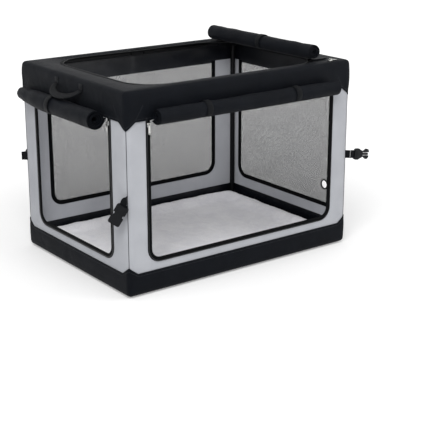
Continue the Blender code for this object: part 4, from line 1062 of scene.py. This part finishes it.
def roll_reach(roll, along, turn, angle, size):
    """How far the cloth lies from the roll's middle: tight, a little oval, softly dented."""
    reach = max(roll.radius - ROLL_START - ROLL_PITCH * turn, ROLL_HEART) * size
    oval = ROLL_OVAL * math.cos(2 * angle + 6 * crumple((along, 0.3, roll.radius), 0.4, 12))
    ring = Vector((along, 0.03 * math.cos(angle), 0.03 * math.sin(angle)))
    soft = crumple(ring, 0.05, 6) + 0.6 * crumple(ring, 0.02, 3)
    settled = min(turn * 2, 1)
    return reach * (1 + oval * settled) + ROLL_DENT * soft * settled * max(1 - turn / 2, 0.2)


def roll_row(roll, share):
    side, along = level_of(roll), roll.low + (roll.high - roll.low) * share
    pinch = sum(math.exp(-(((along - p) / PINCH_HALF) ** 2)) for p in roll.loops)
    flare = 1 + FLARE * math.exp(-min(share, 1 - share) / FLARE_SHARE)
    pressed = roll.press * max(2 * share - 1, 0) ** 2
    uneven = 0.985 + 0.05 * crumple((along, roll.radius, 0), 0.08, 4)
    size = flare * uneven - PINCH * pinch - pressed
    sag = roll.sink * (1 - min(pinch, 1) + 0.5 * crumple((along, 0, roll.radius), 0.12, 9))
    row = [side * a + UP * h + roll.axis * along for a, h in roll.sewn_from]
    for step in range(round(ROLL_TURNS * ROLL_STEPS) + 1):
        turn = step / ROLL_STEPS
        angle, settled = roll.entry - math.tau * turn, min(turn * 3, 1)
        reach = roll_reach(roll, along, turn, angle, size if step > FREE_STEPS else 1)
        level = roll.middle[0] + pressed * roll.radius * settled + reach * math.cos(angle)
        high = roll.middle[1] + reach * math.sin(angle) - sag * settled
        slide = ROLL_SLIDE * crumple((turn, 0.5, roll.low), 0.45, 2) * (2 * share - 1) ** 3
        row.append(side * level + UP * high + roll.axis * (along + slide * min(turn, 1)))
    return row


print("points in a row of a roll:", len(roll_row(ROLLS["roof_flap"], 0.5)))

# %% [markdown]
# Each roll is held by webbing loops pulled tight round it. The left and the roof roll move
# with their ends. The front roll hangs over the folding middle, so it rides on the left end,
# like the middle pieces of the cover.

# %% Rolled flaps and their loops
FLAP_CLOTH, ROLL_ROW_PITCH, ROLL_PLACE, ROLL_KEEP = 0.0028, 0.014, -0.373, 0.13
TIE_STEPS, TIE_WIDTH, TIE_THICKNESS, TIE_TIGHT, TIE_SAG = 36, 0.02, 0.0013, 0.955, 0.0004


def rolled_flap(name, roll):
    width = roll.high - roll.low
    count = round(width / ROLL_ROW_PITCH)
    shape = cloth_rows([roll_row(roll, share) for share in shares(count)])
    made = sewn(name, shape, FLAP_CLOTH, BLACK_OXFORD, offset=0)
    return made


def tie_loop(name, roll, along):
    side, reach = level_of(roll), roll.radius * TIE_TIGHT
    path = []
    for turn in [math.tau * s for s in shares(TIE_STEPS)[:-1]]:
        level = roll.middle[0] + reach * math.cos(turn)
        high = roll.middle[1] + reach * math.sin(turn) - TIE_SAG
        path.append(side * level + UP * high + roll.axis * along)
    return ribbon(name, path, [roll.axis] * TIE_STEPS, TIE_WIDTH, TIE_THICKNESS, WEBBING, closed=True)


def hung(made, part, node=None):
    """Puts a roll or its loop on the body of its part."""
    if part == "middle":
        gathered(made)
    placed(made, PARTS[part][0], node)


for name, roll in ROLLS.items():
    flap = rolled_flap(name, roll)
    hung(flap, roll.part, roll.node)
    for k, along in enumerate(roll.loops):
        hung(tie_loop(f"{name}_tie_{k}", roll, along), roll.part)
    tell(flap)

# %% [markdown]
# **Seams.** A line of stitching runs round each hem, a few millimetres from the folded edge.
# The stitches use points of the bands' own rows, so they lie exactly on the cloth.

# %% Hem stitches
TOP_HEM_POINT, FOOT_HEM_POINT = 25, 1
AROUND = ("left", "right", "front", "rear")


def sewn_round(made):
    """Cuts a piece that runs right round the crate, and carries its parts."""
    for part, piece in parted(made, AROUND):
        carried(piece, part)
        tell(piece)


top_hem = [top_band_row(s)[TOP_HEM_POINT] for s in ROUND]
foot_hem = [tray_row(s)[FOOT_HEM_POINT] for s in ROUND]
hem_ways = [round_plan(s, HALF_LENGTH, HALF_DEPTH, CORNER)[1] for s in ROUND]
for name, path in (("top_hem_stitches", top_hem), ("foot_hem_stitches", foot_hem)):
    row = stitches(name, path, hem_ways, SEAM_BEAD, THREAD, closed=True)
    sewn_round(row)

# %% [markdown]
# The four corner seams of the walls are bound, which reads as one fine dark line. A thin tube
# that lies on the wall's rounded corner is enough to draw it, with a little drift.

# %% Corner cords
CORD_RADIUS, CORD_LOW, CORD_HIGH, CORD_STEPS = 0.0009, 0.072, 0.484, 24
CORD_RISE, CORD_DRIFT = 0.0003, 0.0004
ENDS, SIDES = (("left", -1), ("right", 1)), (("front", -1), ("rear", 1))


def corner_post(end, side, height):
    """The middle of a rounded corner of the cover, and the way out from it."""
    foot = Vector((end * (HALF_LENGTH - CORNER), side * (HALF_DEPTH - CORNER), height))
    return foot, Vector((end, side, 0)).normalized()


for end_name, end in ENDS:
    for side_name, side in SIDES:
        foot, out = corner_post(end, side, 0)
        foot += out * (CORNER - WALL_DEPTH + CORD_RISE)
        heights = [CORD_LOW + (CORD_HIGH - CORD_LOW) * s for s in shares(CORD_STEPS)]
        path = [foot + UP * h + out * CORD_DRIFT * crumple((h, end, side), 0.05) for h in heights]
        cord = cord_tube(f"{side_name}_{end_name}_corner_cord", path, CORD_RADIUS, THREAD, sides=8)
        carried(cord, end_name)
        tell(cord)

# %% [markdown]
# The top band is cut and sewn to turn each corner. A short slanting line of stitches on either
# side of the corner shows where.

# %% Darts at the corners
DART_POINTS, DART_START, DART_STEP = 7, 0.02, 0.004
for end_name, end in ENDS:
    darts = []
    for face, side in ((end_name, -1), (end_name, 1), ("front", end), ("rear", -end)):
        path = []
        for k in range(DART_POINTS):
            share = 1 - (DART_START + DART_STEP * k) / (FACES[face][2] - CORNER)
            path.append(top_band_row((face, side * share, 0.0))[TOP_HEM_POINT - k])
        darts.append(stitches("dart", path, [FACES[face][1]] * DART_POINTS, SEAM_BEAD, THREAD))
    dart = joined(end_name + "_corner_dart_stitches", darts)
    carried(dart, end_name)
    tell(dart)

# %% [markdown]
# **The roof zip** runs right round the roof opening. Its tape is folded over the band's inner
# edge, half its coil stands on the tape, and one row of stitches holds it down.

# %% The roof zip
ROOF_TAPE_WIDTH, ROOF_TAPE_THICKNESS = 0.012, 0.0046
ROOF_EDGE = [top_band_row(s)[0] for s in ROUND]
ROOF_WAYS = [(top_band_row(s)[1] - a).normalized() for s, a in zip(ROUND, ROOF_EDGE)]


def beside_roof_edge(away, rise):
    """A path round the roof opening, away from its edge and up from the cloth."""
    return [a + way * away + UP * rise for a, way in zip(ROOF_EDGE, ROOF_WAYS)]


roof_ups, tape_path = [UP] * len(ROUND), beside_roof_edge(0.002, -0.00125)
roof_tape = ribbon(
    "roof_opening_edge", tape_path, ROOF_WAYS, ROOF_TAPE_WIDTH, ROOF_TAPE_THICKNESS, ZIP_TAPE, closed=True
)
coil_path, sewn_path = beside_roof_edge(-0.0024, 0.0006), beside_roof_edge(0.0062, 0.0009)
roof_teeth = stitches("roof_zip_teeth", coil_path, roof_ups, ROOF_TOOTH, COIL, closed=True)
roof_sewing = stitches("roof_tape_stitches", sewn_path, roof_ups, SEAM_BEAD, THREAD, closed=True)
for made in (roof_tape, roof_teeth, roof_sewing):
    sewn_round(made)

# %% [markdown]
# **Carrying handles** are webbing, sewn down at both ends and bowed between them. The left
# one is pushed outward by the roll below it; the right one hangs almost flat. Each swings on
# its own hems, so it rides on its own body, and the patches it is sewn to stay with the band.

# %% Handles
HANDLE_X, HANDLE_Z, HANDLE_HALF_SPAN, HANDLE_SAG = 0.4068, 0.548, 0.067, 0.039
HANDLE_WIDTH, HANDLE_THICKNESS, PATCH_THICKNESS = 0.022, 0.0024, 0.0016
PATCH_X, PATCH_LOW, PATCH_HEIGHT, SEWN_X = 0.4056, 0.5505, 0.016, 0.4066
BOX_HALF, BOX_LOW, BOX_HIGH = 0.0085, 0.5515, 0.5645


def handle_strip(name, end, lift):
    hinge = Vector((end * HANDLE_X, 0, HANDLE_Z))
    up = Vector((-end * math.sin(lift), 0, math.cos(lift)))
    path, sides = [], []
    for t in [math.pi * s for s in shares(30)]:
        path.append(hinge + ALONG_Y * HANDLE_HALF_SPAN * math.cos(t) - up * HANDLE_SAG * math.sin(t))
        sides.append(ALONG_Y * (math.cos(t) / HANDLE_HALF_SPAN) - up * (math.sin(t) / HANDLE_SAG))
    return ribbon(name + "_handle_webbing", path, sides, HANDLE_WIDTH, HANDLE_THICKNESS, WEBBING)


def handle_patch(name, end, side):
    """A patch under a handle's end, and the crossed box of stitches that holds it."""
    across = side * HANDLE_HALF_SPAN
    path = [Vector((end * PATCH_X, across, PATCH_LOW + PATCH_HEIGHT * s)) for s in shares(4)]
    name = f"{name}_handle_patch_{side + 1}"
    patch = ribbon(name, path, [ALONG_Y] * 5, HANDLE_WIDTH, PATCH_THICKNESS, WEBBING)
    corners = [(-1, BOX_LOW), (1, BOX_LOW), (1, BOX_HIGH), (-1, BOX_HIGH)]
    corners += [(-1, BOX_LOW), (1, BOX_HIGH), (1, BOX_LOW), (-1, BOX_HIGH)]
    sewing = [Vector((end * SEWN_X, across + s * BOX_HALF, h)) for s, h in corners]
    return patch, stitches(name + "_stitches", sewing, [ALONG_X * end] * len(sewing), BOX_BEAD, THREAD)


for name, end, lift in (("left", -1, math.radians(59.6)), ("right", 1, math.radians(10))):
    strip = handle_strip(name, end, lift)
    placed(strip, name + "_handle", name + "_handle")
    for side in (-1, 1):
        for made in handle_patch(name, end, side):
            carried(made, name)
    tell(strip)

# %% [markdown]
# **The four tie straps** hold the folded crate shut. Each is a short webbing strap with a
# hemmed end that swings on a tab sewn into a corner seam. `heading` is where it points, seen
# from above, and `droop` is how far it bends down.

# %% A strap and its tab
STRAP_X, STRAP_Y, STRAP_HEIGHT = 0.4115, 0.2965, 0.285
STRAP_WIDTH, STRAP_THICKNESS, STRAP_LENGTH, STRAP_BEND = 0.025, 0.0017, 0.0206, 2.2
TAB_START, HINGE_ROOM, HEM_RADIUS = 0.0085, 0.0022, 0.0016


def strap_webbing(name, hinge, out, droop):
    path, sides = [], []
    down = out * math.cos(droop) - UP * math.sin(droop)
    for share in shares(8):
        bent = min(share * STRAP_BEND, 1)
        path.append(hinge + (out * (1 - bent) + down * bent).normalized() * STRAP_LENGTH * share)
        sides.append(UP * math.cos(droop * bent) + out * math.sin(droop * bent))
    strap = ribbon(name + "_strap_webbing", path, sides, STRAP_WIDTH, STRAP_THICKNESS, WEBBING)
    hem = [hinge + UP * (STRAP_WIDTH * (s - 0.5)) for s in shares(4)]
    return joined(strap.name, [strap, cord_tube("hem", hem, HEM_RADIUS, WEBBING)])


def corner_tab(name, end, side, hinge):
    foot, out = corner_post(end, side, STRAP_HEIGHT)
    stop = (hinge - foot).length - HINGE_ROOM
    path = [foot + out * (TAB_START + (stop - TAB_START) * s) for s in shares(4)]
    return ribbon(name + "_corner_tab", path, [UP] * 5, STRAP_WIDTH, STRAP_THICKNESS, WEBBING)


print("strap:", STRAP_LENGTH, "long,", STRAP_WIDTH, "wide")

# %% [markdown]
# Each strap carries half of a side-release buckle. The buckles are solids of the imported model;
# the moulded ribs that give the fingers a grip stand on both of their faces.

# %% The four straps
GRIP_START, GRIP_PITCH, GRIP_WIDTH, GRIP_RISE = 0.021, 0.0046, 0.0018, 0.0011
# How many ribs a left and a right buckle have on a face, and half a rib's length.
GRIPS = {-1: (5, 0.0125), 1: (2, 0.0105)}


def buckle_grips(name, end, hinge, out, droop):
    way = out * math.cos(droop) - UP * math.sin(droop)
    rise = UP * math.cos(droop) + out * math.sin(droop)
    skin = way.cross(rise)
    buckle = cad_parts[name + "_buckle"].data
    deep = max(abs((v.co - hinge).dot(skin)) for v in buckle.vertices)
    count, half = GRIPS[end]
    grips = []
    for k in range(count):
        for face in (-1, 1):
            spot = hinge + way * (GRIP_START + GRIP_PITCH * k) + skin * face * deep
            path = [spot + rise * half * (2 * s - 1) for s in shares(4)]
            grips.append(ribbon("grip", path, [way] * 5, GRIP_WIDTH, GRIP_RISE, MOULDED_ACETAL))
    return joined(name + "_buckle_grips", grips)


for name, end, side, heading, droop in (
    ("front_left", -1, -1, math.radians(135), math.radians(60)),
    ("front_right", 1, -1, 0, math.radians(8)),
    ("rear_left", -1, 1, 0, 0),
    ("rear_right", 1, 1, math.pi, 0),
):
    hinge = Vector((end * STRAP_X, side * STRAP_Y, STRAP_HEIGHT))
    out = Vector((math.cos(heading), math.sin(heading), 0))
    strap = strap_webbing(name, hinge, out, droop)
    placed(strap, name + "_strap", name + "_strap")
    carried(corner_tab(name, end, side, hinge), "left" if end < 0 else "right")
    grips = buckle_grips(name, end, hinge, out, droop)
    placed(grips, name + "_strap")
    tell(strap, grips)

# %% [markdown]
# **The mat** is a thin foam pad in fleece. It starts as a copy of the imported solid, remeshed
# into even cells, and is inflated gently as cloth with no gravity, which crowns it and pulls
# its edge in between the corners. How far any point may move is capped, so that it stays on
# the floor of the crate.

# %% Inflate the mat
MAT_CELL, MAT_SWELL, MAT_PRESSURE, MAT_STIFFNESS = 0.0075, 0.005, 4.0, 20


def inflate(made, frames=20):
    """Blows the pad up as cloth, then brings back any point that went too far."""
    scene = bpy.context.scene
    before = [v.co.copy() for v in made.data.vertices]
    cloth = made.modifiers.new("swell", "CLOTH")
    cloth.settings.use_pressure = True
    cloth.settings.uniform_pressure_force = MAT_PRESSURE
    cloth.settings.effector_weights.gravity = 0
    cloth.settings.quality = 5
    cloth.settings.tension_stiffness = cloth.settings.compression_stiffness = MAT_STIFFNESS
    cloth.collision_settings.use_collision = False
    cloth.point_cache.frame_start, cloth.point_cache.frame_end = 1, frames
    for k in range(1, frames + 1):
        scene.frame_set(k)
    settle_modifiers(made)
    scene.frame_set(1)
    for vert, start in zip(made.data.vertices, before):
        step = vert.co - start
        vert.co = start + step * (MAT_SWELL / max(step.length, MAT_SWELL))


mat_pad = bpy.data.objects.new("mat_pad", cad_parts["mat"].data.copy())
bpy.context.scene.collection.objects.link(mat_pad)
mat_pad.data.materials.clear()
remesh = mat_pad.modifiers.new("even cells", "REMESH")
remesh.mode, remesh.voxel_size = "VOXEL", MAT_CELL
settle_modifiers(mat_pad)
mat_floor = min(v.co.z for v in mat_pad.data.vertices)
inflate(mat_pad)
tell(mat_pad)

# %% [markdown]
# A displacement in code adds the lie of the pile on the mat's upper side. When the crate folds,
# the mat has no room either; here it rides on the bottom hub.

# %% The mat's pile
MAT_HALF_LENGTH, MAT_HALF_DEPTH, MAT_TOP, MAT_KEEP = 0.384, 0.2835, 0.026, 0.013
MAT_LIE, MAT_TUFT = 0.0022, 0.0012
subdivide = mat_pad.modifiers.new("soft surface", "SUBSURF")
subdivide.levels = subdivide.render_levels = 1
settle_modifiers(mat_pad)
for vert in mat_pad.data.vertices:
    spot = vert.co.copy()
    lie = MAT_LIE * crumple(spot, 0.05, 1) + MAT_TUFT * crumple(spot, 0.014, 8)
    vert.co.x = max(min(spot.x, MAT_HALF_LENGTH), -MAT_HALF_LENGTH)
    vert.co.y = max(min(spot.y, MAT_HALF_DEPTH), -MAT_HALF_DEPTH)
    vert.co.z = max(spot.z + (lie if spot.z > MAT_TOP else 0), mat_floor)
mat_pad.data.materials.append(PLUSH)
mat_pad.data.shade_smooth()
gathered(mat_pad)
placed(mat_pad, "bottom_hub", "mat")
tell(mat_pad)

# %% [markdown]
# **The frame and fittings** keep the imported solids, which are already the right shape. Each
# gets the finish of the real part: powder coat on the tubes, fine-grained acetal on the
# brackets, hubs, buckles and the port's rim, and worn nickel on the zip pulls.

# %% Finishes of the frame and fittings
FINISHES = (
    (POWDER_COAT, ("_ring", "_rail")),
    (MOULDED_ACETAL, ("_bracket", "_hub", "_buckle", "port_ring")),
    (NICKEL_PLATE, ("_slider", "_pull")),
)
shown = {name: made.data.materials for name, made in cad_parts.items() if not made.hide_render}
for name, materials in shown.items():
    for surface, endings in FINISHES:
        if name.endswith(endings):
            materials.clear()
            materials.append(surface)
finished = [surface for surface, endings in FINISHES]
print("nodes left with their packed material:", [n for n, m in shown.items() if m[0] not in finished])

# %% [markdown]
# The room is plain white. What the camera sees behind the crate is white by its own colour,
# while the light that the room throws on the crate is half as strong, so its edges stay dark.

# %% The white room
def seen_directly(tree):
    """One where it is seen itself, also in a mirror or through a net, and zero for its light."""
    ray = add_node(tree, "LightPath").outputs
    seen = add_node(tree, "Math", {0: ray["Is Camera Ray"], 1: ray["Is Glossy Ray"]}, operation="MAXIMUM")
    return add_node(tree, "Math", {0: seen, 1: ray["Is Transmission Ray"]}, operation="MAXIMUM")


room = bpy.data.worlds.new("white_room")
bpy.context.scene.world = room
room.use_nodes = True
room_tree = room.node_tree
room_tree.nodes.clear()
level = add_node(room_tree, "MapRange", {0: seen_directly(room_tree), 3: 0.5, 4: 1.0})
sky = add_node(room_tree, "Background", {"Color": (1, 1, 1, 1), "Strength": level})
add_node(room_tree, "OutputWorld", {"Surface": sky})
print("world:", room.name)

# %% [markdown]
# The floor is matt white and keeps a soft shadow. It glows a little more further out, so that
# it meets the white behind it without a line.

# %% The floor
white_floor, floor_tree, place = new_material("matt_white_floor")
reach = add_node(floor_tree, "VectorMath", {0: place["Object"]}, operation="LENGTH")
fade = add_node(floor_tree, "MapRange", {0: reach.outputs["Value"], 1: 0.3, 2: 2.0, 3: 0.22, 4: 0.6})
glow = add_node(floor_tree, "Math", {0: seen_directly(floor_tree), 1: fade}, operation="MULTIPLY")
matt = {"Base_Color": linear("#F2F2F2"), "Roughness": 1.0, "Specular_IOR_Level": 0.0}
give_surface(floor_tree, Emission_Color=(1, 1, 1, 1), Emission_Strength=glow, **matt)
floor_shape = bmesh.new()
bmesh.ops.create_grid(floor_shape, x_segments=1, y_segments=1, size=30)
studio_floor = as_object("studio_floor", floor_shape, white_floor, smooth=False)
studio_floor.location.z = cad_box[0][2] - 0.004
print("floor at", round(studio_floor.location.z, 4))

# %% [markdown]
# One large soft lamp stands high on the camera's left and a weaker one on its right. The
# camera has a long lens, as for a picture in a catalogue.

# %% Lamps and camera
def aimed(name, data, place, target):
    """Puts a lamp or a camera in the scene, looking at a place."""
    made = bpy.data.objects.new(name, data)
    made.location = place
    made.rotation_euler = (Vector(target) - Vector(place)).to_track_quat("-Z", "Y").to_euler()
    bpy.context.scene.collection.objects.link(made)
    return made


lamps = (("key_softbox", (-2.2, -2.2, 3.2), 2.4, 90), ("fill_softbox", (2.6, -2.4, 2.0), 2.6, 34))
for name, place, size, power in lamps:
    light = bpy.data.lights.new(name, "AREA")
    light.shape, light.size, light.energy = "DISK", size, power
    aimed(name, light, place, (0, 0, 0.3))

lens = bpy.data.cameras.new("studio_camera")
lens.lens, lens.sensor_width = 94.7, 36
camera = aimed("studio_camera", lens, (-1.9440, -2.7359, 1.1830), (0.1027, 0.0, 0.0748))
bpy.context.scene.camera = camera
bpy.context.scene.view_settings.view_transform = "Standard"
print("camera at", [round(c, 3) for c in camera.location])
